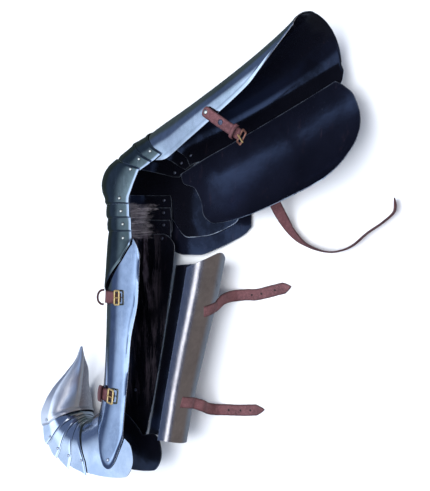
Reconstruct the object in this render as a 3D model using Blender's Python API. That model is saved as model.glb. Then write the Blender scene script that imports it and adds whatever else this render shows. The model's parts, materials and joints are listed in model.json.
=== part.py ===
# Plate armour leg harness: thigh plate, knee cop with lames, shin and calf
# plates and a pointed foot, with leather straps and brass buckles.
#
# Every plate is worked out in the leg's own frame, in millimetres:
#   x  toward the back of the leg, y  up the shin, z  toward the inner side,
#   z = 0 in the leg's plane of symmetry.
# The last step lays the leg on its outer side, in metres, +Z up.

import math
import bpy
import bmesh
import numpy as np
from mathutils import Matrix, Vector

for old in list(bpy.data.objects):
    bpy.data.objects.remove(old, do_unlink=True)

# ---------------------------------------------------------------- dimensions
STEEL = 1.3            # plate thickness
GAP = 1.0              # clearance between plates that slide
STEP = STEEL + GAP     # from one layer of plate to the next
LEATHER = 2.6          # strap thickness
STRAP_W = 18.5         # strap width
ROUND = 2.2            # roundness of a plate's section (2 is an ellipse)

# how the leg lies: turned about its long axis, then about its cross axis
LIE_ROLL = -11.107     # degrees about y
LIE_PITCH = -3.867     # degrees about x
LIE_SHIFT = (0.028884, 0.017851, 0.097140)   # metres, puts the origin under the middle
FLOOR = -96.65         # height of the surface it lies on, in the turned leg frame, mm

# knee pivots, in the leg's plane
PIV = {
    "greave": (-143.0, 12.0),
    "low3": (-141.5, 34.0),
    "low2": (-143.5, 54.5),
    "low1": (-144.5, 75.0),
    "cop": (-122.0, 120.0),
    "up1": (-106.5, 135.5),
    "up2": (-86.0, 147.0),
}
# foot pivots, toe last
FOOT = {
    "ankle": (-186.0, -345.0),
    "j4": (-239.0, -352.0),
    "j3": (-265.0, -346.0),
    "j2": (-287.0, -336.0),
    "j1": (-302.0, -318.0),
    "toe": (-308.0, -290.0),
}
THIGH_DEG = 26.2       # direction of the thigh's axis at the photo's bend

# ------------------------------------------------------------------- helpers


def vec(*c):
    return np.array(c, dtype=float)


def unit(v):
    v = np.asarray(v, dtype=float)
    return v / max(np.linalg.norm(v), 1e-9)


def turn(v, deg):
    a = math.radians(deg)
    return vec(v[0] * math.cos(a) - v[1] * math.sin(a), v[0] * math.sin(a) + v[1] * math.cos(a))


def smooth_table(xs, rows, x):
    """Value of a table of rows at x, by a monotone cubic through the rows."""
    xs = np.asarray(xs, dtype=float)
    ys = np.asarray(rows, dtype=float)
    x = min(max(x, xs[0]), xs[-1])
    i = int(min(max(np.searchsorted(xs, x) - 1, 0), len(xs) - 2))
    h = xs[i + 1] - xs[i]
    d = (ys[1:] - ys[:-1]) / (xs[1:] - xs[:-1]).reshape((-1,) + (1,) * (ys.ndim - 1))

    def slope(k):
        if k == 0:
            return d[0]
        if k == len(xs) - 1:
            return d[-1]
        a, b = d[k - 1], d[k]
        same = (a * b) > 0
        return np.where(same, 2 * a * b / np.where(same, a + b, 1.0), 0.0)

    t = (x - xs[i]) / h
    m0, m1 = slope(i) * h, slope(i + 1) * h
    return ((2 * t**3 - 3 * t**2 + 1) * ys[i] + (t**3 - 2 * t**2 + t) * m0
            + (-2 * t**3 + 3 * t**2) * ys[i + 1] + (t**3 - t**2) * m1)


def section_point(front, centre, back, sigma, half, n=ROUND, keel=0.0, flare=0.0, keel_w=7.0):
    """A point of a plate's cross section.

    sigma is 0 at the front, 90 where the wall stands at its full half width,
    and past 90 it runs on toward `back`, a millimetre for each degree.
    """
    s = abs(sigma)
    f = front - centre
    if s <= 90.0:
        a = math.radians(s)
        c, k = max(math.cos(a), 0.0) ** (2 / n), math.sin(a) ** (2 / n)
        p = centre + f * c
        z = half * k
    else:
        p = centre + back * (s - 90.0)
        z = half + flare * ((s - 90.0) / 60.0) ** 2 * 60.0
    p = p + unit(f) * keel * math.exp(-((z / keel_w) ** 2))
    return vec(p[0], p[1], z if sigma >= 0 else -z)


def shell(grid, thick, outward):
    """Vertices and faces of a plate: the outer grid and its copy `thick` inside."""
    g = np.asarray(grid, dtype=float)
    nu, nv = g.shape[0], g.shape[1]
    du = np.gradient(g, axis=0)
    dv = np.gradient(g, axis=1)
    nrm = np.cross(du, dv)
    nrm /= np.maximum(np.linalg.norm(nrm, axis=2, keepdims=True), 1e-9)
    mid = nrm[nu // 2, nv // 2]
    if np.dot(mid, outward) < 0:
        nrm = -nrm
        flip = True
    else:
        flip = False
    inner = g - nrm * thick
    verts = [tuple(p) for p in g.reshape(-1, 3)] + [tuple(p) for p in inner.reshape(-1, 3)]
    off = nu * nv

    def k(i, j):
        return i * nv + j

    faces = []
    for i in range(nu - 1):
        for j in range(nv - 1):
            q = (k(i, j), k(i + 1, j), k(i + 1, j + 1), k(i, j + 1))
            if flip:
                q = q[::-1]
            faces.append(q)
            faces.append(tuple(off + a for a in q[::-1]))
    rim = [(i, 0) for i in range(nu)] + [(nu - 1, j) for j in range(1, nv)]
    rim += [(i, nv - 1) for i in range(nu - 2, -1, -1)] + [(0, j) for j in range(nv - 2, 0, -1)]
    for a in range(len(rim)):
        p, q = k(*rim[a]), k(*rim[(a + 1) % len(rim)])
        f = (p, off + p, off + q, q)
        if flip:
            f = f[::-1]
        faces.append(f)
    return verts, faces


MATERIALS = {
    "steel": ((0.42, 0.47, 0.55), 0.28, 1.0),
    "steel_dark": ((0.10, 0.12, 0.14), 0.30, 1.0),
    "brass": ((0.72, 0.52, 0.24), 0.35, 1.0),
    "leather": ((0.20, 0.07, 0.05), 0.62, 0.0),
}


def material_for(name, kind):
    colour, rough, metal = MATERIALS[kind]
    mat = bpy.data.materials.new(name + "_finish")
    mat.use_nodes = True
    bsdf = mat.node_tree.nodes["Principled BSDF"]
    bsdf.inputs["Base Color"].default_value = (*colour, 1.0)
    bsdf.inputs["Roughness"].default_value = rough
    bsdf.inputs["Metallic"].default_value = metal
    mat.diffuse_color = (*colour, 1.0)
    return mat


def leg_to_world():
    m = Matrix.Rotation(math.radians(LIE_PITCH), 4, "X") @ Matrix.Rotation(math.radians(LIE_ROLL), 4, "Y")
    return Matrix.Translation(Vector(LIE_SHIFT)) @ m @ Matrix.Scale(0.001, 4)


def add(name, verts, faces, kind, sharp=32.0):
    mesh = bpy.data.meshes.new(name)
    w = leg_to_world()
    mesh.from_pydata([w @ Vector(v) for v in verts], [], faces)
    bm = bmesh.new()
    bm.from_mesh(mesh)
    bmesh.ops.triangulate(bm, faces=bm.faces[:], quad_method="SHORT_EDGE")
    bmesh.ops.recalc_face_normals(bm, faces=bm.faces[:])
    if bm.calc_volume(signed=True) < 0:
        bmesh.ops.reverse_faces(bm, faces=bm.faces[:])
    bm.to_mesh(mesh)
    bm.free()
    mesh.shade_smooth()
    mesh.set_sharp_from_angle(angle=math.radians(sharp))
    mesh.materials.append(material_for(name, kind))
    obj = bpy.data.objects.new(name, mesh)
    bpy.context.scene.collection.objects.link(obj)
    return obj


def plate(name, grid, outward, kind="steel", thick=STEEL):
    v, f = shell(grid, thick, outward)
    return add(name, v, f, kind)


def spread(n, a=0.0, b=1.0):
    return [a + (b - a) * i / (n - 1) for i in range(n)]


# --------------------------------------------------------- banded lames (rows)
# A row is one cross section of a band:
#   front, centre, near end, far end (points in the leg's plane), half width


def band_grid(rows, arch=9, run_near=2, run_far=2, n=ROUND, keel=0.0, keel_w=7.0, dense=1):
    """Outer grid of a band through its rows, far end to near end.

    `arch` cells go round each side to the full half width, and the run cells
    carry the wall on from there to the row's near and far end.
    """
    cols = np.array([[*r["front"], *r["centre"], *r["near"], *r.get("far", r["near"]), r["half"],
                      r.get("half_far", r["half"]), r.get("flare", 0.0), r.get("ridge", 0.0)] for r in rows], dtype=float)
    ts = list(range(len(rows)))
    m = (len(rows) - 1) * dense + 1
    out = []
    for j in range(m):
        c = smooth_table(ts, cols, (len(rows) - 1) * j / (m - 1)) if dense > 1 else cols[j]
        f, ce, ne, fa, hn, hf, flare, zr = c[0:2], c[2:4], c[4:6], c[6:8], c[8], c[9], c[10], c[11]
        line = []
        for i in range(-arch - run_far, arch + run_near + 1):
            end, half, run_cells = (ne, hn - zr, run_near) if i >= 0 else (fa, hf + zr, run_far)
            k = abs(i)
            run = np.linalg.norm(end - ce)
            sig = 90.0 * k / arch if k <= arch else 90.0 + run * (k - arch) / run_cells
            p = section_point(f, ce, unit(end - ce), math.copysign(sig, i), half, n, keel,
                              flare if i < 0 else 0.0, keel_w)
            line.append(vec(p[0], p[1], p[2] + zr))
        out.append(line)
    return np.array(out).transpose(1, 0, 2)


def arc_front(pivot, radius, forward_deg, lift_deg):
    """Point on the arc about a pivot; lift is toward the thigh or the toe."""
    return vec(*pivot) + radius * turn((1.0, 0.0), forward_deg - lift_deg)


# ------------------------------------------------------- knee: lames and cop
# joint: forward direction of the section through the pivot, radius of the
# outer plate's face, half width of the outer plate
KNEE = {
    #          forward  radius  half
    "low1": (180.0, 63.3, 58.3),
    "low2": (180.0, 62.8, 56.0),
    "low3": (180.0, 63.8, 53.7),
    "greave": (180.0, 61.8, 51.4),
    "cop": (165.0, 64.5, 58.3),
    "up1": (146.0, 50.4, 56.0),
    "up2": (139.0, 46.3, 53.7),
}


def knee_front(joint, lift, under=False):
    """Front point at a joint, lifted along its arc by so many millimetres."""
    fwd, radius, half = KNEE[joint]
    r = radius - (STEP if under else 0.0)
    return arc_front(PIV[joint], r, fwd, math.degrees(lift / radius))


def lower_lame(top, bottom, edge, reach=16.0):
    """Band between two joints below the cop; it lies over the next one down."""
    pt, pb = vec(*PIV[top]), vec(*PIV[bottom])
    half = KNEE[top][2] - STEP
    back = vec(reach, 0.0)
    up = vec(0.0, 1.0)
    rows = [
        dict(front=knee_front(top, 9.5, True), centre=pt + up * 8, near=pt + up * 8 + back * 0.85, half=half),
        dict(front=knee_front(top, 0.0, True), centre=pt, near=pt + back, half=half),
        dict(front=knee_front(top, -9.5, True), centre=(pt + pb) / 2, near=(pt + pb) / 2 + back, half=half),
        dict(front=knee_front(bottom, 0.0), centre=pb, near=pb + back, half=half),
        dict(front=knee_front(bottom, -edge), centre=pb - up * edge, near=pb - up * edge + back, half=half),
    ]
    return rows


LAME_LOWER_1 = lower_lame("low1", "low2", 11.0)
LAME_LOWER_2 = lower_lame("low2", "low3", 12.0)

# the third lower lame runs down to a point on the shin
p3, pg = vec(*PIV["low3"]), vec(*PIV["greave"])
h3 = KNEE["low3"][2] - STEP
LAME_LOWER_3 = [
    dict(front=knee_front("low3", 9.5, True), centre=p3 + vec(0, 8), near=p3 + vec(13, 8), half=h3),
    dict(front=knee_front("low3", 0.0, True), centre=p3, near=p3 + vec(15, 0), half=h3),
    dict(front=knee_front("low3", -9.5, True), centre=vec(-142.0, 24.0), near=vec(-126.5, 24.0), half=h3),
    dict(front=knee_front("greave", 0.0), centre=pg, near=vec(-126.0, 13.0), half=h3),
    dict(front=vec(-207.6, -22.0), centre=vec(-144.5, -2.0), near=vec(-127.0, 9.0), half=h3 + 0.8),
    dict(front=vec(-209.6, -54.0), centre=vec(-146.5, -14.0), near=vec(-128.5, 6.5), half=h3 + 1.4),
    dict(front=vec(-211.8, -80.5), centre=vec(-149.0, -24.0), near=vec(-130.5, 3.0), half=h3 + 2.0),
]
KNEE_COP = [
    dict(front=knee_front("low1", -9.0), centre=vec(-144.5, 66.0), near=vec(-127.5, 65.0), far=vec(-134.5, 50.0)),
    dict(front=knee_front("low1", 0.0), centre=vec(-144.5, 75.0), near=vec(-127.0, 75.0), far=vec(-104.0, 13.5)),
    dict(front=vec(-215.5, 87.0), centre=vec(-140.0, 84.0), near=vec(-122.5, 86.0), far=vec(-72.0, 16.0)),
    dict(front=vec(-218.5, 101.0), centre=vec(-135.0, 94.0), near=vec(-117.0, 98.0), far=vec(-38.0, 28.0)),
    dict(front=vec(-215.0, 115.0), centre=vec(-130.0, 105.0), near=vec(-111.0, 109.5), far=vec(-17.0, 45.0)),
    dict(front=vec(-204.5, 129.0), centre=vec(-125.0, 115.0), near=vec(-107.0, 117.0), far=vec(-40.0, 80.0)),
    dict(front=knee_front("cop", 7.0), centre=vec(-120.0, 126.0), near=vec(-104.0, 121.5), far=vec(-84.0, 109.0)),
]
for r in KNEE_COP:
    r["half"] = KNEE["low1"][2]
    r["flare"] = 0.11

LAME_UPPER_1 = [
    dict(front=knee_front("cop", -9.0, True), centre=vec(-125.0, 112.5), near=vec(-112.0, 112.0), half=56.0),
    dict(front=knee_front("cop", 0.0, True), centre=vec(*PIV["cop"]), near=vec(-105.0, 118.0), half=56.0),
    dict(front=knee_front("cop", 9.0, True), centre=vec(-116.0, 127.0), near=vec(-96.5, 122.5), half=56.0),
    dict(front=knee_front("up1", 0.0), centre=vec(*PIV["up1"]), near=vec(-87.0, 127.5), half=56.0),
    dict(front=knee_front("up1", 8.0), centre=vec(-101.0, 141.0), near=vec(-82.0, 131.0), half=56.0),
]
LAME_UPPER_2 = [
    dict(front=knee_front("up1", -9.0, True), centre=vec(-112.0, 130.0), near=vec(-98.0, 123.5), half=53.7),
    dict(front=knee_front("up1", 0.0, True), centre=vec(*PIV["up1"]), near=vec(-89.0, 128.5), half=53.7),
    dict(front=knee_front("up1", 8.0, True), centre=vec(-99.0, 140.5), near=vec(-79.5, 132.5), half=53.7),
    dict(front=knee_front("up2", 0.0), centre=vec(*PIV["up2"]), near=vec(-69.5, 139.0), half=53.7),
    dict(front=knee_front("up2", 7.5), centre=vec(-79.5, 151.5), near=vec(-64.0, 142.5), half=53.7),
]
plate("knee_lame_lower_1", band_grid(LAME_LOWER_1), vec(-1, 0, 0))
plate("knee_lame_lower_2", band_grid(LAME_LOWER_2), vec(-1, 0, 0))
plate("knee_lame_lower_3", band_grid(LAME_LOWER_3), vec(-1, 0, 0))
plate("knee_cop", band_grid(KNEE_COP, 9, 2, 6, keel=1.0), vec(-1, 0, 0), "steel_dark")
plate("knee_lame_upper_1", band_grid(LAME_UPPER_1), vec(-1, 0, 0), "steel_dark")
plate("knee_lame_upper_2", band_grid(LAME_UPPER_2), vec(-1, 0, 0), "steel_dark")

# ------------------------------------------------------------ knee wing plate
# along x: lower edge, upper edge, distance out at mid height, crown
WING_X = (-142.0, -130.0, -110.0, -85.0, -56.0, -27.0, -5.0, 6.0)
WING_LOW = (8.0, -9.0, -15.5, -15.5, -6.0, 7.0, 19.0, 30.0)
WING_HIGH = (46.0, 72.0, 96.0, 108.0, 106.0, 92.0, 70.0, 50.0)
WING_OUT = (62.5, 63.5, 67.0, 73.0, 80.0, 86.0, 89.0, 89.5)


def wing_point(x, w):
    lo = float(smooth_table(WING_X, [[v] for v in WING_LOW], x)[0])
    hi = float(smooth_table(WING_X, [[v] for v in WING_HIGH], x)[0])
    out = float(smooth_table(WING_X, [[v] for v in WING_OUT], x)[0])
    y = lo + (hi - lo) * w
    mid = 48.0
    dome = 3.0 * (1 - min(abs(y - mid) / 64.0, 1.0) ** 2)
    return vec(x, y, -(out + dome))


plate("knee_wing", [[wing_point(x, w) for w in spread(7)] for x in spread(10, WING_X[0], WING_X[-1])],
      vec(0, 0, -1), "steel_dark")

# ------------------------------------------------------------- greave (front)
# height: front x, centre x, half width, near edge x, far edge x
GREAVE_Y = (-362.0, -305.0, -275.0, -245.0, -200.0, -149.0, -86.0, -30.0, 0.0, 20.0)
GREAVE = (
    (-258.5, -188.0, 43.8, -165.0, -171.5),
    (-240.0, -179.0, 43.6, -152.5, -168.0),
    (-228.2, -172.0, 43.3, -149.5, -161.5),
    (-220.0, -166.0, 43.6, -145.5, -154.5),
    (-214.0, -159.0, 46.0, -138.0, -147.0),
    (-210.5, -152.5, 48.8, -131.0, -138.6),
    (-208.0, -148.0, 50.2, -115.5, -128.2),
    (-203.8, -145.0, 49.8, -112.5, -119.0),
    (-202.2, -143.3, 49.1, -111.8, -116.0),
    (-201.9, -143.0, 49.0, -111.8, -116.0),
)
# round the section: angle, where the plate ends below
GREAVE_FOOT_A = (0.0, 22.0, 42.0, 58.0, 71.0, 83.0, 94.0, 103.0, 110.0, 115.0)
GREAVE_FOOT_Y = (-271.0, -274.0, -286.0, -309.0, -340.0, -357.0, -361.0, -352.0, -328.0, -306.0)
# lowest and highest point of the plate where it runs past the centre
GREAVE_TOP_A = (0.0, 92.0, 104.0, 113.0, 118.0, 122.0)
GREAVE_TOP_Y = (19.0, 19.0, 15.0, 6.0, -3.0, -14.0)


def lookup(xs, ys, x):
    return float(smooth_table(xs, [[v] for v in ys], x)[0])


def greave_point(sigma, y, inset=0.0):
    f, c, half, near, far = smooth_table(GREAVE_Y, GREAVE, y)
    end = 90 + ((near if sigma >= 0 else far) - c)
    s = max(-end, min(end, sigma))
    p = section_point(vec(f + inset, y), vec(c, y), vec(1.0, 0.0), s, half - inset, 2.15,
                      1.2 * min(max((-y - 5.0) / 60.0, 0.0), 1.0))
    return p


def greave_grid(nq, nv):
    cols = []
    for i in range(nq):
        q = -1 + 2 * i / (nq - 1)
        a = abs(q)
        sig_top = a * (122.0 if q >= 0 else 117.0)
        sig_low = a * 115.0
        top = lookup(GREAVE_TOP_A, GREAVE_TOP_Y, sig_top)
        low = lookup(GREAVE_FOOT_A, GREAVE_FOOT_Y, sig_low)
        col = []
        for j in range(nv):
            y = top + (low - top) * j / (nv - 1)
            f, c, half, near, far = smooth_table(GREAVE_Y, GREAVE, y)
            end = 90 + ((near if q >= 0 else far) - c)
            col.append(greave_point(q * end, y))
        cols.append(col)
    return cols


plate("greave_front", greave_grid(23, 13), vec(-1, 0, 0))

# ---------------------------------------------------------------- calf plate
# The hinge line runs down the outer edge of the greave.
HINGE_TOP = vec(-118.6, -30.0, -51.8)
HINGE_LOW = vec(-169.5, -312.0, -44.2)
CALF_OPEN = 46.0       # how far it stands open, in degrees
CALF_Y = (-320.0, -260.0, -200.0, -140.0, -80.0, -26.0)
# width across, depth behind the hinge line
CALF = ((86.0, 57.0), (87.0, 57.5), (92.0, 60.5), (98.0, 64.5), (102.0, 68.5), (103.5, 70.0))
CALF_A = (0.0, 30.0, 60.0, 88.0, 104.0, 128.0, 158.0, 180.0)
CALF_TOP = (-32.0, -30.0, -29.0, -26.0, -20.5, -11.5, -22.5, -34.0)
CALF_LOW = (-313.0, -316.0, -318.5, -319.5, -319.5, -318.5, -314.0, -310.0)


def hinge_at(y):
    t = (y - HINGE_TOP[1]) / (HINGE_LOW[1] - HINGE_TOP[1])
    return HINGE_TOP + (HINGE_LOW - HINGE_TOP) * t


def calf_point(angle, y, open_deg=None):
    """Point of the calf plate; angle 0 is the hinge edge, 180 the free edge."""
    width, depth = smooth_table(CALF_Y, CALF, y)
    n = 2.25
    a = math.radians(min(max(angle, 0.0), 180.0))
    c, s = math.cos(a), math.sin(a)
    side = math.copysign(abs(c) ** (2 / n), c)
    x = (depth - 2.2) * max(s, 0.0) ** (2 / n) + 4.4
    z = width / 2 * (1 - side)
    o = math.radians(CALF_OPEN if open_deg is None else open_deg)
    base = hinge_at(y)
    return vec(base[0] + x * math.cos(o) + z * math.sin(o), y, base[2] - x * math.sin(o) + z * math.cos(o))


def calf_grid(nq, nv):
    out = []
    for i in range(nq):
        a = 180.0 * i / (nq - 1)
        top, low = lookup(CALF_A, CALF_TOP, a), lookup(CALF_A, CALF_LOW, a)
        out.append([calf_point(a, top + (low - top) * j / (nv - 1)) for j in range(nv)])
    return out


plate("calf_plate", calf_grid(17, 8), vec(0.6, 0, -0.5))

# -------------------------------------------------------------------- cuisse
TH = vec(math.cos(math.radians(THIGH_DEG)), math.sin(math.radians(THIGH_DEG)))   # up the thigh
TF = vec(-TH[1], TH[0])                                                          # out of its front


def thigh(s, h):
    return vec(*PIV["up2"]) + TH * s + TF * h


# along the thigh: front s, h | centre s, h | inner edge angle | outer edge angle | half inner, half outer
CUISSE = (
    (None, (-9.0, -1.0), 103.0, 104.0, 51.4, 51.4),
    (None, (0.0, 0.0), 106.0, 106.0, 51.4, 51.4),
    ((22.0, 43.0), (22.0, 0.0), 113.5, 111.0, 51.6, 52.0),
    ((75.0, 41.0), (75.0, 0.0), 111.0, 113.0, 59.0, 62.0),
    ((150.0, 41.0), (150.0, 0.0), 105.5, 119.0, 66.5, 72.5),
    ((222.0, 45.0), (218.0, 0.0), 96.0, 122.0, 70.0, 80.0),
    ((272.0, 50.5), (258.0, 0.0), 77.0, 122.0, 72.0, 84.0),
    ((305.0, 56.0), (280.0, 0.0), 61.0, 115.0, 73.0, 86.0),
    ((321.0, 60.5), (291.0, 0.0), 50.0, 101.0, 73.0, 87.0),
)


def cuisse_columns():
    cols = []
    for k, (f, c, an, af, hn, hf) in enumerate(CUISSE):
        if f is None:
            front = knee_front("up2", -9.0 if k == 0 else 0.0, True)
        else:
            front = thigh(*f)
        cols.append([*front, *thigh(*c), an, af, hn, hf])
    return np.array(cols, dtype=float)


def cuisse_grid(nq, nv, outset=0.0):
    cols = cuisse_columns()
    ts = list(range(len(cols)))
    out = []
    for j in range(nv):
        c = smooth_table(ts, cols, (len(cols) - 1) * j / (nv - 1))
        line = []
        for i in range(nq):
            q = -1 + 2 * i / (nq - 1)
            sig = q * (c[4] if q >= 0 else c[5])
            # the two sides differ in width; they meet smoothly at the front
            half = c[6] if q >= 0 else c[7]
            back = -TF
            line.append(section_point(c[0:2], c[2:4], back, sig, half, 2.15, 0.8))
        out.append(line)
    return np.array(out).transpose(1, 0, 2)


plate("cuisse_plate", cuisse_grid(25, 11), vec(*TF, 0), "steel_dark")

# ---------------------------------------------------------- cuisse side plate
# It wraps the outer back of the thigh from under the main plate's edge.
SIDE_H = (-20.0, -34.0, -55.0, -78.0, -100.0, -120.0, -138.0, -150.0, -157.0)
SIDE_LOW = (-30.0, -31.0, -14.0, -12.0, -16.0, -6.0, 38.0, 110.0, 190.0)
SIDE_HIGH = (274.0, 284.0, 292.0, 291.0, 285.0, 273.0, 252.0, 232.0, 212.0)
SIDE_S = (-35.0, 0.0, 22.0, 75.0, 150.0, 222.0, 300.0)
SIDE_HALF = (48.0, 48.6, 49.6, 59.0, 69.0, 76.7, 82.0)


def side_point(h, s):
    half = lookup(SIDE_S, SIDE_HALF, s)
    # rounds in toward the back of the thigh
    t = max(0.0, (-h - 62.0) / 106.0)
    z = half * max(0.0, 1 - t ** 2.2) ** (1 / 2.2)
    p = thigh(s, h)
    return vec(p[0], p[1], -z)


def side_grid(nq, nv):
    out = []
    for i in range(nq):
        u = i / (nq - 1)
        h = SIDE_H[0] + (SIDE_H[-1] - SIDE_H[0]) * u
        lo, hi = lookup(sorted(SIDE_H), SIDE_LOW[::-1], h), lookup(sorted(SIDE_H), SIDE_HIGH[::-1], h)
        out.append([side_point(h, lo + (hi - lo) * j / (nv - 1)) for j in range(nv)])
    return out


plate("cuisse_side_plate", side_grid(13, 10), vec(0, 0, -1), "steel_dark")

# ------------------------------------------------------------------- sabaton
# Each band is the outer plate at the pivot nearer the ankle and the inner
# plate at the pivot nearer the toe. The bands fan out at the sole and close
# up over the instep.
#   joint: point on the sole's edge below the pivot, half widths of the outer plate
ARCH = {
    "j4": ((-238.5, -371.0), 43.0, 43.6),
    "j3": ((-273.5, -363.5), 45.3, 46.1),
    "j2": ((-297.5, -348.0), 47.6, 49.1),
    "j1": ((-315.5, -325.5), 49.9, 52.1),
    "toe": ((-322.5, -289.0), 52.2, 55.1),
}


def foot_lame(rear, fore, fronts, sole_rear):
    pr, pf = vec(*FOOT[rear]), vec(*FOOT[fore])
    sr, sf = vec(*ARCH[rear][0]), vec(*ARCH[fore][0])
    hn, hf = ARCH[rear][1:3]
    ahead = unit(pf - pr) * 7.0
    centres = (pr - unit(pf - pr) * 5.0, pr, (pr + pf) / 2, pf, pf + ahead)
    ends = (sole_rear, sr, (sr + sf) / 2 + (pf - sf) * 0.04, sf + (pf - sf) * 0.25, pf + ahead + (sf - pf) * 0.42)
    return [dict(front=vec(*f), centre=c, near=e, half=hn, half_far=hf) for f, c, e in zip(fronts, centres, ends)]


# front points from the band's rear edge to the edge hidden under the next one
FRONT_1 = ((-262.0, -291.0), (-265.5, -290.9), (-269.0, -290.9), (-273.0, -291.0), (-278.0, -291.8))
FRONT_2 = ((-265.0, -288.7), (-269.0, -288.4), (-273.0, -288.0), (-278.0, -287.4), (-284.0, -286.6))
FRONT_3 = ((-268.5, -286.0), (-273.0, -284.8), (-277.5, -283.4), (-282.5, -281.7), (-288.0, -279.8))
FRONT_4 = ((-273.5, -282.2), (-277.5, -280.2), (-281.5, -277.8), (-285.5, -274.8), (-289.5, -271.0))
SABATON_1 = foot_lame("j4", "j3", FRONT_1, vec(-229.0, -376.0))
SABATON_2 = foot_lame("j3", "j2", FRONT_2, vec(-266.0, -369.5))
SABATON_3 = foot_lame("j2", "j1", FRONT_3, vec(-291.0, -352.5))
SABATON_4 = foot_lame("j1", "toe", FRONT_4, vec(-309.5, -332.0))

ANKLE_PLATE = [
    dict(front=vec(-211.0, -265.4), centre=vec(-174.0, -314.0), near=vec(-151.0, -309.0)),
    dict(front=vec(-221.6, -270.2), centre=vec(-180.0, -322.0), near=vec(-139.0, -320.0)),
    dict(front=vec(-232.4, -276.0), centre=vec(-187.0, -333.0), near=vec(-134.5, -343.0)),
    dict(front=vec(-242.2, -282.0), centre=vec(-199.0, -341.0), near=vec(-150.0, -370.0)),
    dict(front=vec(-251.5, -288.0), centre=vec(-212.0, -348.0), near=vec(-190.0, -374.0)),
    dict(front=vec(-259.5, -292.6), centre=vec(-236.0, -351.0), near=vec(-232.0, -371.0)),
    dict(front=vec(-266.0, -295.5), centre=vec(-245.0, -350.0), near=vec(-247.0, -361.0)),
]
for k, r in enumerate(ANKLE_PLATE):
    r["half"] = 37.3 + 3.4 * max(0, k - 3) / 3
    r["half_far"] = 37.3 + 4.0 * max(0, k - 3) / 3

# toe cap: from its rear edge to the curled tip
TOE_CAP = [
    dict(front=vec(-277.8, -275.3), centre=vec(-306.5, -297.0), near=vec(-319.5, -301.0), half=52.6, half_far=55.5, ridge=6.0),
    dict(front=vec(-284.0, -270.0), centre=vec(-306.0, -284.0), near=vec(-322.0, -283.0), half=52.6, half_far=55.5, ridge=8.0),
    dict(front=vec(-279.0, -252.0), centre=vec(-303.0, -262.0), near=vec(-315.5, -261.0), half=49.0, half_far=51.0, ridge=10.0),
    dict(front=vec(-275.0, -229.0), centre=vec(-297.0, -238.0), near=vec(-306.0, -238.5), half=40.5, half_far=39.0, ridge=9.5),
    dict(front=vec(-272.0, -206.0), centre=vec(-284.5, -210.0), near=vec(-288.0, -210.5), half=26.0, half_far=24.0, ridge=8.0),
    dict(front=vec(-271.0, -188.0), centre=vec(-276.0, -189.0), near=vec(-277.5, -189.5), half=14.5, half_far=6.0, ridge=6.0),
    dict(front=vec(-271.5, -169.0), centre=vec(-273.5, -169.2), near=vec(-274.0, -169.4), half=8.0, half_far=-3.5, ridge=5.5),
]
plate("ankle_plate", band_grid(ANKLE_PLATE, 7, 2, 2, 2.0, 0.8), vec(-1, 0.5, 0))
plate("sabaton_lame_1", band_grid(SABATON_1, 7, 2, 2, 2.3, 0.8), vec(-0.5, 1, 0))
plate("sabaton_lame_2", band_grid(SABATON_2, 7, 2, 2, 2.3, 0.8), vec(0, 1, 0))
plate("sabaton_lame_3", band_grid(SABATON_3, 7, 2, 2, 2.3, 0.8), vec(0.3, 1, 0))
plate("sabaton_lame_4", band_grid(SABATON_4, 7, 2, 2, 2.3, 0.8), vec(0.6, 0.8, 0))
plate("toe_cap", band_grid(TOE_CAP, 7, 2, 2, 2.3, 0.8), vec(1, 0.3, 0))

# ------------------------------------------------------------ fastening pieces
LAY = Matrix.Rotation(math.radians(LIE_PITCH), 3, "X") @ Matrix.Rotation(math.radians(LIE_ROLL), 3, "Y")
UP = np.array([LAY[2][0], LAY[2][1], LAY[2][2]])     # the surface's normal, in the leg's frame
SIGHT = vec(math.sin(math.radians(36.0)), 0.0, math.cos(math.radians(36.0)))


def on_floor(x, y, lift):
    """Point over (x, y) at a height above the surface the leg lies on."""
    return vec(x, y, (FLOOR + lift - UP[0] * x - UP[1] * y) / UP[2])


def down_to_floor(p, along, lift):
    """The point where a line through p meets the surface, raised by lift."""
    p, along = np.asarray(p, float), np.asarray(along, float)
    t = (FLOOR + lift - UP @ p) / (UP @ along)
    return p + along * t


def dome(name, at, normal, radius, height, kind="steel", sides=10, gap=0.3):
    """A rivet's head, standing clear of the plate under it."""
    n = unit(normal)
    a = unit(np.cross(n, vec(0.31, 0.87, 0.41)))
    b = np.cross(n, a)
    base = np.asarray(at, float) + n * gap
    verts, faces = [], []
    for r, h in ((radius, 0.0), (radius * 0.95, height * 0.42), (radius * 0.6, height * 0.86)):
        for k in range(sides):
            w = 2 * math.pi * k / sides
            verts.append(tuple(base + (a * math.cos(w) + b * math.sin(w)) * r + n * h))
    verts.append(tuple(base + n * height))
    for ring in (0, 1):
        for k in range(sides):
            k2 = (k + 1) % sides
            faces.append((ring * sides + k, ring * sides + k2, (ring + 1) * sides + k2, (ring + 1) * sides + k))
    for k in range(sides):
        faces.append((2 * sides + k, 2 * sides + (k + 1) % sides, 3 * sides))
    faces.append(tuple(range(sides))[::-1])
    return add(name, verts, faces, kind)


def resample(points, n):
    """n points along a smooth curve through the given ones, with its tangents."""
    p = np.array(points, float)
    d = np.concatenate([[0.0], np.cumsum(np.linalg.norm(np.diff(p, axis=0), axis=1))])
    at = np.linspace(0, d[-1], n)
    q = []
    for t in at:
        i = int(min(max(np.searchsorted(d, t) - 1, 0), len(p) - 2))
        u = (t - d[i]) / max(d[i + 1] - d[i], 1e-9)
        p0, p1, p2, p3 = p[max(i - 1, 0)], p[i], p[i + 1], p[min(i + 2, len(p) - 1)]
        q.append(0.5 * (2 * p1 + (p2 - p0) * u + (2 * p0 - 5 * p1 + 4 * p2 - p3) * u * u
                        + (3 * p1 - p0 - 3 * p2 + p3) * u ** 3))
    q = np.array(q)
    return q, np.gradient(q, axis=0), at


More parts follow.
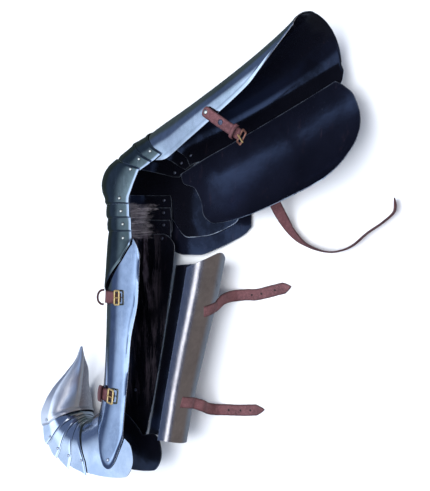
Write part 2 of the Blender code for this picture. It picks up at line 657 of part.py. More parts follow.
def band(points, across, n, width=STRAP_W, thick=LEATHER, point=0.0):
    """Corner rings of a strap along a path: a flat band with a pointed end."""
    q, t, at = resample(points, n)
    ac = np.array([np.asarray(a, float) for a in across]) if np.ndim(across) == 2 else None
    rings = []
    for i in range(n):
        tan = unit(t[i])
        a = np.asarray(across, float) if ac is None else np.array(
            [np.interp(i / (n - 1), np.linspace(0, 1, len(ac)), ac[:, k]) for k in range(3)])
        nor = unit(np.cross(tan, a))
        a = np.cross(nor, tan)
        w = width
        if point > 0 and at[-1] - at[i] < point:
            w = width * (0.14 + 0.86 * (at[-1] - at[i]) / point)
        rings.append([q[i] - a * w / 2 - nor * thick / 2, q[i] + a * w / 2 - nor * thick / 2,
                      q[i] + a * w / 2 + nor * thick / 2, q[i] - a * w / 2 + nor * thick / 2])
    return rings


def sweep(name, rings, kind, closed=False):
    k = len(rings[0])
    verts = [tuple(p) for r in rings for p in r]
    faces = []
    m = len(rings)
    for i in range(m if closed else m - 1):
        for j in range(k):
            a, b = i * k + j, i * k + (j + 1) % k
            c, d = ((i + 1) % m) * k + (j + 1) % k, ((i + 1) % m) * k + j
            faces.append((a, b, c, d))
    if not closed:
        faces.append(tuple(range(k))[::-1])
        faces.append(tuple(range((m - 1) * k, m * k)))
    return add(name, verts, faces, kind)


def ring_path(centre, u, v, half_u, half_v, corner=0.28):
    """Rounded rectangle about a centre, as points with their outward directions."""
    pts = []
    for su, sv in ((1, 1), (-1, 1), (-1, -1), (1, -1)):
        cu, cv = half_u * (1 - corner), half_v * (1 - corner)
        r_u, r_v = half_u * corner, half_v * corner
        for w in (0, 45, 90):
            a = math.radians(w)
            x, y = (math.cos(a), math.sin(a)) if su * sv > 0 else (math.sin(a), math.cos(a))
            pts.append(centre + u * su * (cu + r_u * x) + v * sv * (cv + r_v * y))
    return pts


def frame_ring(name, centre, u, v, half_u, half_v, bar=2.4, thick=2.2, kind="brass"):
    u, v = unit(u), unit(v)
    n = np.cross(u, v)
    outer = ring_path(centre, u, v, half_u, half_v)
    inner = ring_path(centre, u, v, half_u - bar, half_v - bar)
    rings = [[o + n * thick / 2, i + n * thick / 2, i - n * thick / 2, o - n * thick / 2] for o, i in zip(outer, inner)]
    return sweep(name, rings, kind, closed=True)


# ---------------------------------------------------------------- calf hinges
KNUCKLE = 2.4
HINGE_OUT = vec(-1.44, 0.0, -3.4)      # from the plates' meeting line to the pin
HINGE_DIR = unit(HINGE_TOP - HINGE_LOW)
CALF_HINGES = {"upper": -88.0, "lower": -196.0}


def leaf(name, centre, axis, out, side, a, b, height, length, gap=0.35, thick=1.1, steps=12):
    """Hinge leaf: a knuckle about the pin line and a flat that lies on its plate.

    height is the plate's surface below the pin line, side the way the flat runs.
    """
    axis = unit(axis)
    side = unit(side - axis * (side @ axis))
    out = unit(out - axis * (out @ axis) - side * (out @ side))
    w0, w1 = -(height - gap), -(height - gap - thick)
    profile = [(length, w0), (length, w1)]
    start = math.atan2(w1, math.sqrt(KNUCKLE ** 2 - w1 ** 2))
    if abs(w0) < KNUCKLE:
        end = 2 * math.pi + math.atan2(w0, math.sqrt(KNUCKLE ** 2 - w0 ** 2))
        profile += [(KNUCKLE * math.cos(start + (end - start) * k / steps), KNUCKLE * math.sin(start + (end - start) * k / steps))
                    for k in range(steps + 1)]
    else:
        end = 1.5 * math.pi
        profile += [(KNUCKLE * math.cos(start + (end - start) * k / steps), KNUCKLE * math.sin(start + (end - start) * k / steps))
                    for k in range(steps + 1)]
        profile.append((0.0, w0))
    rings = [[centre + axis * t + side * x + out * y for x, y in profile] for t in (a, b)]
    return sweep(name, rings, "steel")


calf_open = math.radians(CALF_OPEN)
for tag, y in CALF_HINGES.items():
    pin = hinge_at(y) + HINGE_OUT
    leaf("greave_hinge_leaf_" + tag, pin, HINGE_DIR, vec(0, 0, -1), vec(-1, 0, 0), 0.3, 12.0, 3.4, 15.0)
    leaf("calf_hinge_leaf_" + tag, pin, HINGE_DIR, vec(-math.sin(calf_open), 0, -math.cos(calf_open)),
         vec(math.cos(calf_open), 0, -math.sin(calf_open)), -12.0, -0.3, 3.4, 15.5)

# -------------------------------------------------------------- cuisse hinges
CUISSE_HINGES = {"lower": (88.0, -23.5), "upper": (188.0, -30.5)}


def cuisse_pin(s, h):
    p = thigh(s, h - 3.3)
    return vec(p[0], p[1], -(lookup(SIDE_S, SIDE_HALF, s) + 3.3))


PIN_A, PIN_B = cuisse_pin(*CUISSE_HINGES["lower"]), cuisse_pin(*CUISSE_HINGES["upper"])
PIN_DIR = unit(PIN_B - PIN_A)
for tag, (s, h) in CUISSE_HINGES.items():
    pin = PIN_A + PIN_DIR * (0.0 if tag == "lower" else np.linalg.norm(PIN_B - PIN_A))
    slope_out = vec(0, 0, -1) - PIN_DIR * (vec(0, 0, -1) @ PIN_DIR)
    leaf("side_plate_hinge_leaf_" + tag, pin, PIN_DIR, slope_out, vec(*-TF, 0), -12.0, -0.3, 3.3, 15.0)
    leaf("cuisse_hinge_leaf_" + tag, pin, PIN_DIR, slope_out, vec(*TF, 0), 0.3, 12.0, -0.25, 18.0)

# --------------------------------------------------------------------- rivets
KNEE_RIVETS = {"greave": "low3_greave", "low3": "low2_low3", "low2": "low1_low2", "low1": "cop_low1",
               "cop": "cop_up1", "up1": "up1_up2", "up2": "up2_cuisse"}
for joint, tag in KNEE_RIVETS.items():
    half = KNEE[joint][2]
    if joint in ("greave", "low3", "low2", "up1", "up2"):
        half = {"greave": 51.4, "low3": 53.7, "low2": 56.0, "up1": 56.0, "up2": 53.7}[joint]
    for side, sign in (("inner", 1), ("outer", -1)):
        extra = 0.3 if joint == "low1" else 0.0
        dome("knee_rivet_%s_%s" % (tag, side), vec(*PIV[joint], sign * (half + extra)), vec(0, 0, sign), 3.0, 1.7)
dome("ankle_rivet_inner", greave_point(94.0, -345.0), vec(0, 0, 1), 3.0, 1.7)
dome("ankle_rivet_outer", greave_point(-94.0, -345.0), vec(0, 0, -1), 3.0, 1.7)
SABATON_RIVETS = {"j4": "lame_1", "j3": "lame_2", "j2": "lame_3", "j1": "lame_4", "toe": "toe"}
for joint, tag in SABATON_RIVETS.items():
    half = ARCH[joint][1] if joint != "toe" else 52.6
    dome("sabaton_rivet_" + tag, vec(*FOOT[joint], half + 0.4), vec(0, 0, 1), 2.4, 1.4)

# --------------------------------------------------- greave straps and buckles


def over_greave(sigma, y, lift):
    """Point over the greave, with the directions round it, out of it and up it."""
    p = greave_point(sigma, y)
    t = unit(greave_point(sigma + 1.5, y) - greave_point(sigma - 1.5, y))
    up = unit(greave_point(sigma, y + 9.0) - greave_point(sigma, y - 9.0))
    n = np.cross(t, up)
    n = unit(n if n @ vec(p[0] + 150.0, 0, p[2]) > 0 else -n)
    return p + n * lift, t, n, unit(np.cross(n, t)) * math.copysign(1.0, np.cross(n, t)[1])


# height, angle where the strap starts, where it ends, buckle's half length, tilt
GREAVE_STRAPS = {"upper": (-83.0, 42.0, 75.0, 7.6, 0.0), "lower": (-240.5, -48.0, 71.0, 8.6, -8.0)}
for tag, (y, a0, a1, half_u, tilt) in GREAVE_STRAPS.items():
    path = [over_greave(a, y, 1.1 + LEATHER / 2)[0] for a in spread(13, a0, a1)]
    across = [over_greave(a, y, 0.0)[3] for a in spread(13, a0, a1)]
    sweep("greave_strap_" + tag, band(path, across, 15, STRAP_W + 1.5), "leather")
    end, t, n, up = over_greave(a1, y, 2.6)
    tilt_t = unit(t + up * math.tan(math.radians(tilt)))
    centre = end + tilt_t * (half_u + 1.6) + n * 0.8
    frame_ring("greave_buckle_" + tag, centre, tilt_t, up - tilt_t * (tilt_t @ up), half_u, 12.6)
# the keeper loops stand proud of the strap where it goes over the shin
KEEPERS = {"upper": (-84.0, 36.0, 10.5, 6.5), "lower": (-240.5, 50.0, 2.6, 15.0)}
for tag, (y, a, rise, wide) in KEEPERS.items():
    p, t, n, up = over_greave(a, y, 0.8 + LEATHER + 0.4)
    arch = [p + up * 11.8 * math.cos(w) + n * (rise * math.sin(w) ** 0.8 + 1.2)
            for w in [math.pi * k / 10 for k in range(11)]]
    sweep("greave_keeper_" + tag, band(arch, t, 11, wide, 2.2), "leather")

# ------------------------------------------------------------- calf straps


def calf_out(angle, y, lift):
    """Point over the calf plate's outside, with the way out and the way up it."""
    p = calf_point(angle, y)
    t = unit(calf_point(angle - 2.0, y) - calf_point(angle + 2.0, y))
    up = unit(calf_point(angle, y + 8.0) - calf_point(angle, y - 8.0))
    n = unit(np.cross(t, up))
    mid = calf_point(0.0, y) * 0.5 + calf_point(180.0, y) * 0.5
    n = n if n @ (p - mid) > 0 else -n
    return p + n * lift, n, up


# on the plate: angles round it and heights; then the points the strap hangs
# through, and the points on the surface the leg lies on
CALF_STRAPS = {
    "upper": ((143.0, -104.0), (112.0, -96.5),
              ((-29.5, -87.0, -62.0), (-29.5, -82.8, -82.0), (-24.0, -81.2, -95.0)),
              ((-9.0, -79.8), (9.4, -79.1), (42.2, -71.0), (66.5, -65.2))),
    "lower": ((150.0, -249.0), (112.0, -254.0),
              ((-67.5, -259.5, -58.0), (-70.0, -266.0, -77.0), (-67.0, -269.5, -93.0)),
              ((-53.0, -270.3), (-29.8, -269.7), (-9.0, -268.3), (13.1, -266.3))),
}
for tag, (start, end, hang, run) in CALF_STRAPS.items():
    path = [calf_out(a, y, 1.3 + LEATHER / 2)[0] for a, y in zip(spread(5, start[0], end[0]), spread(5, start[1], end[1]))]
    up = calf_out(130.0, start[1], 0.0)[2]
    path += [vec(*q) for q in hang] + [on_floor(q[0], q[1], LEATHER / 2 + 0.3) for q in run]
    flat = unit(path[-1] - path[-3])
    side = np.cross(UP, flat)
    side = unit(side) * math.copysign(1, side[1])
    sweep("calf_strap_" + tag, band(path, [up, up, unit(up + side), side, side, side], 27, STRAP_W, LEATHER, 15.0), "leather")

# ------------------------------------------------------------ cuisse straps
BUCKLE_STRAP = ((27.5, 202.3, 67.4), (49.5, 188.5, 68.6), (71.0, 175.5, 69.2), (94.0, 162.0, 68.8))
run = unit(vec(*BUCKLE_STRAP[-1]) - vec(*BUCKLE_STRAP[0]))
wide = unit(np.cross(vec(0, 0, 1), run))
sweep("cuisse_buckle_strap", band([vec(*q) for q in BUCKLE_STRAP], wide, 13, STRAP_W - 1.5), "leather")
dome("cuisse_strap_rivet", vec(33.0, 198.8, 69.1), vec(0, 0, 1), 4.0, 2.0)
end = vec(*BUCKLE_STRAP[-1])
tip = unit(run + vec(0, 0, 0.5))
frame_ring("cuisse_buckle", end + tip * 9.6 + vec(0, 0, 0.6), tip, wide - tip * (tip @ wide), 8.0, 11.5)
arch = [end - run * 9.0 + wide * 10.6 * math.cos(w) + vec(0, 0, 1) * (6.0 * math.sin(w) ** 0.8 + 2.3)
        for w in [math.pi * k / 10 for k in range(11)]]
sweep("cuisse_keeper", band(arch, run, 11, 7.0, 2.0), "leather")
pin = unit(run * 0.9 - wide * 0.18 + vec(0, 0, 0.33))
bar = end + tip * 2.0 + vec(0, 0, 5.4)
sweep("cuisse_tongue", band([bar, bar + pin * 9.0, bar + pin * 19.0], wide, 5, 2.2, 1.8), "brass")


def side_out(s, h, lift):
    p = side_point(h, s)
    n = unit(np.cross(side_point(h - 1.5, s) - side_point(h + 1.5, s), side_point(h, s + 6.0) - side_point(h, s - 6.0)))
    n = n if n[2] < 0 else -n
    return p + n * lift


LONG_STRAP = ((73.5, 67.5, -56.0), (70.5, 58.5, -68.5), (68.5, 47.0, -83.0), (69.5, 35.0, -94.5))
LONG_RUN = ((74.5, 22.5), (90.7, 6.6), (111.0, -4.5), (134.7, -10.2), (156.0, -7.5), (174.9, 0.8), (198.1, 19.2),
            (223.5, 36.0), (241.0, 52.5), (241.8, 73.0))
path = [side_out(112.0, -118.0, 3.2), side_out(110.0, -131.0, 3.6)]
path += [vec(*q) for q in LONG_STRAP]
path += [on_floor(q[0], q[1], 0.5 + STRAP_W / 2 * float(SIGHT @ UP) + 0.6) for q in LONG_RUN]
along = vec(*TH, 0)
sweep("cuisse_long_strap", band(path, [along, along, along, unit(along * 0.7 + SIGHT * 0.5), unit(along * 0.2 + SIGHT), SIGHT, SIGHT, SIGHT, SIGHT, SIGHT, SIGHT],
                                41, STRAP_W, LEATHER, 12.0), "leather")
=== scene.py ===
import json
import math
import bpy
import bmesh
import numpy as np
from mathutils import Matrix, Vector


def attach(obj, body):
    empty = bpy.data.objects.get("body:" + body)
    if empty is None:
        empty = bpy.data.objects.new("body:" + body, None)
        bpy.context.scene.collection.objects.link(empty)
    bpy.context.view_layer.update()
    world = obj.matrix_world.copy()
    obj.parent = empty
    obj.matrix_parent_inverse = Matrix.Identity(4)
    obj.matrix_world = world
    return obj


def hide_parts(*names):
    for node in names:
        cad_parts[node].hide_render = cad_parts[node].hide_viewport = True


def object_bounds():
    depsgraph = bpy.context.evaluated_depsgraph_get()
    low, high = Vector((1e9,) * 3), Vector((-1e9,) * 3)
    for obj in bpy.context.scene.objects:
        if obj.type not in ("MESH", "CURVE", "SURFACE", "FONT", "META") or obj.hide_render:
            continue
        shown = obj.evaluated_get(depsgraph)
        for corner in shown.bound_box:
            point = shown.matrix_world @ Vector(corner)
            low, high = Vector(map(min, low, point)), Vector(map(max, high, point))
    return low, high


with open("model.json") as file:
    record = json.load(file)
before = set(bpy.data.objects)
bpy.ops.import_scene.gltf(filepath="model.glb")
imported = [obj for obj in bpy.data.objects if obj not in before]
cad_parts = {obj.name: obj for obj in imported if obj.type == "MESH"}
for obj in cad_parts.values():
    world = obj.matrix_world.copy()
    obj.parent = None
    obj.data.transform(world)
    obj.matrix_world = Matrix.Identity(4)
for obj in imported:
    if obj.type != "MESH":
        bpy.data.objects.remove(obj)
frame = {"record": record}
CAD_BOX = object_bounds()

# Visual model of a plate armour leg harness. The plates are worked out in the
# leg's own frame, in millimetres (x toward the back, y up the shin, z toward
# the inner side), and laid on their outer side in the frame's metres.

BODY_OF = {n: b for b, ns in frame["record"]["behaviour"]["bodies"].items() for n in ns}


# ------------------------------------------------------------------ materials
class Nodes:
    """Short hand for building a material's nodes."""

    def __init__(self, name):
        self.mat = bpy.data.materials.new(name)
        self.mat.use_nodes = True
        self.nt = self.mat.node_tree
        self.bsdf = self.nt.nodes["Principled BSDF"]
        self.co = self.nt.nodes.new("ShaderNodeTexCoord").outputs["Object"]

    def new(self, kind, **props):
        n = self.nt.nodes.new(kind)
        for k, v in props.items():
            setattr(n, k, v)
        return n

    def link(self, a, b):
        self.nt.links.new(a, b)

    def put(self, socket, value):
        if hasattr(value, "is_output"):
            self.link(value, socket)
        else:
            socket.default_value = value

    def mapped(self, scale=(1, 1, 1), turn=(0, 0, 0)):
        m = self.new("ShaderNodeMapping")
        m.inputs["Scale"].default_value = scale
        m.inputs["Rotation"].default_value = turn
        self.link(self.co, m.inputs["Vector"])
        return m.outputs["Vector"]

    def noise(self, scale, detail=4.0, rough=0.55, vector=None, distortion=0.0):
        n = self.new("ShaderNodeTexNoise")
        n.inputs["Scale"].default_value = scale
        n.inputs["Detail"].default_value = detail
        n.inputs["Roughness"].default_value = rough
        n.inputs["Distortion"].default_value = distortion
        self.link(self.co if vector is None else vector, n.inputs["Vector"])
        return n.outputs["Fac"]

    def voronoi(self, scale, feature="F1", vector=None):
        n = self.new("ShaderNodeTexVoronoi", feature=feature)
        n.inputs["Scale"].default_value = scale
        self.link(self.co if vector is None else vector, n.inputs["Vector"])
        return n.outputs["Distance"]

    def attr(self, name):
        return self.new("ShaderNodeAttribute", attribute_name=name).outputs["Fac"]

    def ramp(self, fac, stops, interpolation="LINEAR"):
        r = self.new("ShaderNodeValToRGB")
        r.color_ramp.interpolation = interpolation
        while len(r.color_ramp.elements) < len(stops):
            r.color_ramp.elements.new(0.5)
        for e, (p, c) in zip(r.color_ramp.elements, stops):
            e.position = p
            e.color = (c, c, c, 1) if not hasattr(c, "__len__") else (*c, 1)
        self.link(fac, r.inputs["Fac"])
        return r.outputs["Color"]

    def math(self, op, a, b=0.0, clamp=False):
        n = self.new("ShaderNodeMath", operation=op, use_clamp=clamp)
        self.put(n.inputs[0], a)
        self.put(n.inputs[1], b)
        return n.outputs[0]

    def mix(self, fac, a, b):
        n = self.new("ShaderNodeMix", data_type="RGBA")
        self.put(n.inputs[0], fac)
        for s, v in ((n.inputs[6], a), (n.inputs[7], b)):
            self.put(s, v if hasattr(v, "is_output") else (*v, 1))
        return n.outputs[2]

    def bump(self, height, strength, distance=0.001, normal=None):
        n = self.new("ShaderNodeBump")
        n.inputs["Strength"].default_value = strength
        n.inputs["Distance"].default_value = distance
        self.link(height, n.inputs["Height"])
        if normal is not None:
            self.link(normal, n.inputs["Normal"])
        return n.outputs["Normal"]

    def set(self, **values):
        for k, v in values.items():
            self.put(self.bsdf.inputs[k.replace("_", " ")], v)


def steel_outside(name, dark, light, rough_low=0.10, rough_high=0.22, rim_highlight=0.5, stain_amount=0.25, metallic=1.0,
                  painted_dark_half=False):
    """Polished steel: soft mottling, fine rubbed scratches, rims lightened as a painted highlight, a painted highlight
    band by the near edge, and optionally a painted dark reflection on the far half.
    """
    m = Nodes(name)
    cloud = m.noise(11.0, 4.0, 0.55)
    fine = m.noise(90.0, 5.0, 0.6)
    rub = m.noise(60.0, 5.0, 0.7, m.mapped((10.0, 0.8, 3.0)))
    rub2 = m.noise(70.0, 4.0, 0.75, m.mapped((1.5, 14.0, 4.0), (0.3, 0.5, 0.9)))
    tone = m.math("ADD", m.math("MULTIPLY", cloud, 0.7), m.math("MULTIPLY", fine, 0.3))
    colour = m.mix(m.ramp(tone, ((0.36, 0.0), (0.64, 1.0))), dark, light)
    # rims lightened toward near-white: painted highlight where the edges catch light
    rim = m.ramp(m.attr("rim"), ((0.0, 1.0), (0.035, 0.8), (0.075, 0.0)))
    colour = m.mix(m.math("MULTIPLY", rim, 0.6 * rim_highlight), colour, (0.93, 0.95, 0.99))
    # painted highlight: a pale blue band along the near edge of the knee plates, standing in for a reflection
    near_edge_highlight = m.ramp(m.attr("side"), ((0.0, 1.0), (0.10, 0.85), (0.22, 0.0)))
    colour = m.mix(m.math("MULTIPLY", near_edge_highlight, 0.75), colour, (0.62, 0.72, 0.86))
    stain = m.ramp(m.noise(30.0, 6.0, 0.7, None, 0.6), ((0.58, 0.0), (0.72, 1.0)))
    colour = m.mix(m.math("MULTIPLY", stain, stain_amount), colour, tuple(c * 0.45 for c in dark))
    line = m.ramp(m.noise(18.0, 2.0, 0.5, m.mapped((22.0, 1.0, 6.0), (0.1, 0.2, 0.35))), ((0.68, 0.0), (0.70, 1.0), (0.72, 0.0)))
    colour = m.mix(m.math("MULTIPLY", line, 0.30), colour, (0.85, 0.88, 0.92))
    rough = m.math("ADD", m.math("MULTIPLY", m.ramp(rub, ((0.35, 0.0), (0.7, 1.0))), rough_high - rough_low), rough_low)
    if painted_dark_half:
        # painted shade: the toe cap's far half is darkened as a dark reflection, most near the keel; the near half is
        # also made rougher
        far = m.attr("half")
        keel_shade_weight = m.ramp(m.attr("keel"), ((0.0, 1.0), (0.30, 0.75), (0.85, 0.10)))
        colour = m.mix(m.math("MULTIPLY", far, m.math("ADD", m.math("MULTIPLY", keel_shade_weight, 0.35), 0.50)), colour,
                       m.mix(m.noise(40.0, 5.0, 0.7, m.mapped((1.0, 6.0, 1.0))), (0.16, 0.12, 0.15), (0.50, 0.46, 0.52)))
        rough = m.math("ADD", rough, m.math("MULTIPLY", m.math("SUBTRACT", 1.0, far), 0.14))
    rough = m.math("ADD", rough, m.math("MULTIPLY", stain, 0.10))
    m.set(Base_Color=colour, Roughness=rough, Metallic=metallic)
    n = m.bump(rub, 0.03, 0.0003)
    n = m.bump(rub2, 0.02, 0.0003, n)
    n = m.bump(m.noise(19.0, 2.0, 0.4), 0.10, 0.0012, n)
    m.link(n, m.bsdf.inputs["Normal"])
    return m.mat


def black_inside(name, base=(0.0025, 0.0026, 0.0045), wear=0.0, edge_wear=0.14):
    """Gloss black paint on the inside, with runs, chips and rubbed patches."""
    m = Nodes(name)
    cloud = m.noise(9.0, 4.0, 0.55)
    colour = m.mix(m.ramp(cloud, ((0.35, 0.0), (0.7, 1.0))), base, tuple(c * 2.0 for c in base))
    chips = m.ramp(m.voronoi(210.0, "F1", m.mapped((1.0, 0.7, 1.0))), ((0.0, 1.0), (0.10, 0.0)))
    chips = m.math("MULTIPLY", chips, m.ramp(m.noise(22.0, 3.0, 0.6), ((0.55, 0.0), (0.68, 1.0))))
    colour = m.mix(m.math("MULTIPLY", chips, 0.5), colour, (0.22, 0.24, 0.30))
    runs = m.ramp(m.noise(38.0, 6.0, 0.72, m.mapped((2.4, 0.35, 2.4))), ((0.60, 0.0), (0.72, 1.0)))
    colour = m.mix(m.math("MULTIPLY", runs, 0.22), colour, (0.050, 0.030, 0.040))
    rough = m.math("ADD", m.math("MULTIPLY", m.noise(30.0, 5.0, 0.6), 0.20), 0.07)
    edge = m.math("MULTIPLY", m.ramp(m.attr("rim"), ((0.0, 1.0), (0.03, 0.55), (0.055, 0.0))),
                  m.ramp(m.noise(55.0, 4.0, 0.6), ((0.38, 0.15), (0.6, 1.0))))
    colour = m.mix(m.math("MULTIPLY", edge, edge_wear), colour, (0.50, 0.58, 0.70))
    gloss = m.ramp(m.noise(9.0, 6.0, 0.68, m.mapped((1.0, 0.7, 1.0), (0.4, 0.2, 0.7))), ((0.40, 0.0), (0.50, 0.55), (0.60, 1.0)))
    m.set(Specular_IOR_Level=m.math("ADD", m.math("MULTIPLY", gloss, 0.55), 0.16))
    if wear > 0:
        scr = m.ramp(m.noise(34.0, 6.0, 0.78, m.mapped((0.7, 11.0, 0.7))), ((0.44, 0.0), (0.58, 1.0)))
        patch = m.ramp(m.noise(24.0, 6.0, 0.7), ((0.40, 0.0), (0.56, 1.0)))
        over = m.math("MAXIMUM", m.math("MULTIPLY", scr, 0.95), m.math("MULTIPLY", patch, 0.35))
        ragged = m.math("MULTIPLY", m.noise(26.0, 6.0, 0.7, m.mapped((1.0, 2.0, 1.0))), 2.6)
        zone = m.ramp(m.math("SUBTRACT", m.math("ADD", m.attr("wear"), ragged), 1.9),
                      ((0.02, 0.0), (0.42, 1.0)))
        k = m.math("MULTIPLY", m.math("MULTIPLY", zone, m.ramp(m.attr("wear"), ((0.0, 0.0), (0.25, 1.0)))), over)
        down = m.ramp(m.noise(60.0, 6.0, 0.75, m.mapped((1.6, 0.16, 1.6))), ((0.47, 0.0), (0.62, 1.0)))
        k2 = m.math("MULTIPLY", m.attr("streak"), down)
        bare = m.mix(m.noise(80.0, 5.0, 0.7), (0.08, 0.06, 0.07), (0.72, 0.66, 0.70))
        colour = m.mix(m.math("MULTIPLY", k, wear), colour, bare)
        colour = m.mix(m.math("MULTIPLY", k2, 0.8 * wear), colour, m.mix(m.noise(45.0, 5.0, 0.7), (0.035, 0.018, 0.022), (0.34, 0.28, 0.34)))
        rough = m.math("ADD", rough, m.math("MULTIPLY", m.math("MAXIMUM", k, k2), 0.25))
    m.set(Base_Color=colour, Roughness=rough, Metallic=0.0)
    m.bsdf.inputs["Specular IOR Level"].default_value = 0.62
    m.bsdf.inputs["Specular Tint"].default_value = (0.42, 0.58, 1.0, 1)
    n = m.bump(m.noise(45.0, 4.0, 0.6), 0.20, 0.0010)
    n = m.bump(m.noise(280.0, 2.0, 0.6), 0.08, 0.0003, n)
    m.link(n, m.bsdf.inputs["Normal"])
    return m.mat


def bare_inside(name):
    """Unpainted steel inside, duller than the outside."""
    m = Nodes(name)
    c = m.mix(m.noise(30.0, 5.0, 0.65), (0.20, 0.19, 0.20), (0.46, 0.45, 0.46))
    m.set(Base_Color=c, Roughness=m.math("ADD", m.math("MULTIPLY", m.noise(80.0, 4.0), 0.3), 0.22), Metallic=1.0)
    m.link(m.bump(m.noise(40.0, 4.0, 0.6), 0.2, 0.001), m.bsdf.inputs["Normal"])
    return m.mat


def leather_skin(name, dark, light):
    """Worn reddish leather: grain, pores, darker edges and dry pale creases."""
    m = Nodes(name)
    patch = m.noise(45.0, 5.0, 0.65)
    grain = m.voronoi(1300.0, "SMOOTH_F1")
    crease = m.ramp(m.noise(150.0, 6.0, 0.7, None, 0.8), ((0.47, 0.0), (0.5, 1.0), (0.53, 0.0)))
    c = m.mix(m.ramp(patch, ((0.3, 0.0), (0.7, 1.0))), dark, light)
    c = m.mix(m.math("MULTIPLY", crease, 0.45), c, tuple(min(1.0, v * 1.9 + 0.03) for v in light))
    c = m.mix(m.math("MULTIPLY", m.ramp(grain, ((0.0, 1.0), (0.5, 0.0))), 0.35), c, tuple(v * 0.45 for v in dark))
    edge = m.ramp(m.attr("rim"), ((0.0, 1.0), (0.5, 0.0)))
    c = m.mix(m.math("MULTIPLY", edge, 0.75), c, tuple(v * 0.35 for v in dark))
    r = m.math("ADD", m.math("MULTIPLY", patch, 0.25), 0.42)
    m.set(Base_Color=c, Roughness=r)
    m.bsdf.inputs["Specular IOR Level"].default_value = 0.42
    n = m.bump(grain, 0.55, 0.0003)
    n = m.bump(m.noise(160.0, 6.0, 0.7), 0.45, 0.0005, n)
    m.link(n, m.bsdf.inputs["Normal"])
    return m.mat


def plain_metal(name, a, b, rough=0.25, scale=90.0, metallic=1.0):
    m = Nodes(name)
    k = m.noise(scale, 5.0, 0.65)
    c = m.mix(m.ramp(k, ((0.3, 0.0), (0.7, 1.0))), a, b)
    m.set(Base_Color=c, Roughness=m.math("ADD", m.math("MULTIPLY", k, 0.25), rough), Metallic=metallic)
    m.link(m.bump(m.noise(scale * 3, 4.0, 0.6), 0.12, 0.0003), m.bsdf.inputs["Normal"])
    return m.mat


def thread_mat(name):
    m = Nodes(name)
    w = m.new("ShaderNodeTexWave", wave_type="BANDS")
    w.inputs["Scale"].default_value = 900.0
    m.link(m.co, w.inputs["Vector"])
    m.set(Base_Color=m.mix(w.outputs["Fac"], (0.30, 0.20, 0.15), (0.50, 0.38, 0.30)), Roughness=0.8)
    return m.mat


MAT = {
    # the outside is one polished steel; its base colour is set plate by plate as painted reflection: blue on the shin,
    # darker and bluer on the thigh, near-black green-grey on the knee plates, pale blue on the foot, near-white on the
    # toe cap
    "shin": steel_outside("polished_shin_painted_blue_reflection", (0.31, 0.39, 0.52), (0.50, 0.59, 0.74)),
    "calf": steel_outside("polished_calf", (0.46, 0.46, 0.50), (0.62, 0.62, 0.66), 0.09, 0.20),
    "thigh": steel_outside("polished_thigh_painted_dark_reflection", (0.36, 0.43, 0.48), (0.58, 0.65, 0.74)),
    "knee": steel_outside("polished_knee_painted_dark_reflection", (0.085, 0.115, 0.115), (0.19, 0.235, 0.235), rim_highlight=0.15),
    "foot": steel_outside("polished_foot_painted_pale_reflection", (0.56, 0.66, 0.80), (0.80, 0.88, 0.98), rim_highlight=0.3, stain_amount=0.1),
    "toe": steel_outside("polished_toe_painted_pale_reflection", (0.78, 0.81, 0.88), (0.96, 0.97, 1.0), 0.18, 0.30, 0.3, 0.10, 0.94, True),
    "black": black_inside("black_lining"),
    "black_knee": black_inside("black_lining_worn", wear=1.0),
    "black_cop": black_inside("black_lining_cop", wear=0.8, edge_wear=0.85),
    # the same black lining with a bluer base: painted blue sheen on the side plate and the knee wing
    "black_blue_sheen": black_inside("black_lining_painted_blue_sheen", (0.0035, 0.0040, 0.0080)),
    "bare": bare_inside("bare_inside"),
    # one rim steel in three copies: lightened as painted highlight where edges catch light, darkened as painted shade
    # where the edges read as dark lines between plates
    "rim": plain_metal("rim_painted_highlight", (0.45, 0.50, 0.58), (0.85, 0.90, 0.97), 0.16),
    "rim_foot_shade": plain_metal("foot_rim_painted_shade", (0.24, 0.29, 0.36), (0.46, 0.52, 0.60), 0.32),
    "rim_shade": plain_metal("rim_painted_shade", (0.06, 0.07, 0.08), (0.20, 0.22, 0.25), 0.25),
    "rivet": plain_metal("rivet_head", (0.66, 0.62, 0.50), (0.92, 0.90, 0.80), 0.12),
    "rivet_pale": plain_metal("rivet_foot", (0.80, 0.82, 0.86), (0.97, 0.98, 1.0), 0.30),
    "rivet_dark": plain_metal("rivet_end", (0.10, 0.10, 0.13), (0.42, 0.42, 0.48), 0.22),
    "hinge": plain_metal("hinge_steel", (0.18, 0.20, 0.23), (0.44, 0.46, 0.50), 0.22),
    "brass": plain_metal("brass_worn", (0.62, 0.38, 0.12), (1.0, 0.78, 0.38), 0.20, 160.0, 0.72),
    "bronze": plain_metal("bronze_worn", (0.17, 0.075, 0.055), (0.36, 0.17, 0.12), 0.25, 160.0, 0.6),
    "dark_rivet": plain_metal("flat_rivet", (0.06, 0.06, 0.09), (0.28, 0.28, 0.36), 0.28, 260.0),
    "leather": leather_skin("strap_leather", (0.075, 0.026, 0.028), (0.165, 0.066, 0.070)),
    # a darker copy of the strap leather: painted shade for the strap end under the buckle frame
    "leather_shaded": leather_skin("strap_leather_painted_shade", (0.030, 0.012, 0.012), (0.075, 0.030, 0.028)),
    "leather_back": leather_skin("strap_flesh_side", (0.20, 0.10, 0.08), (0.36, 0.20, 0.16)),
    "thread": thread_mat("strap_thread"),
    # near-black leather for the punched holes: painted shade
    "hole": leather_skin("strap_hole_shade", (0.012, 0.006, 0.005), (0.03, 0.014, 0.012)),
}
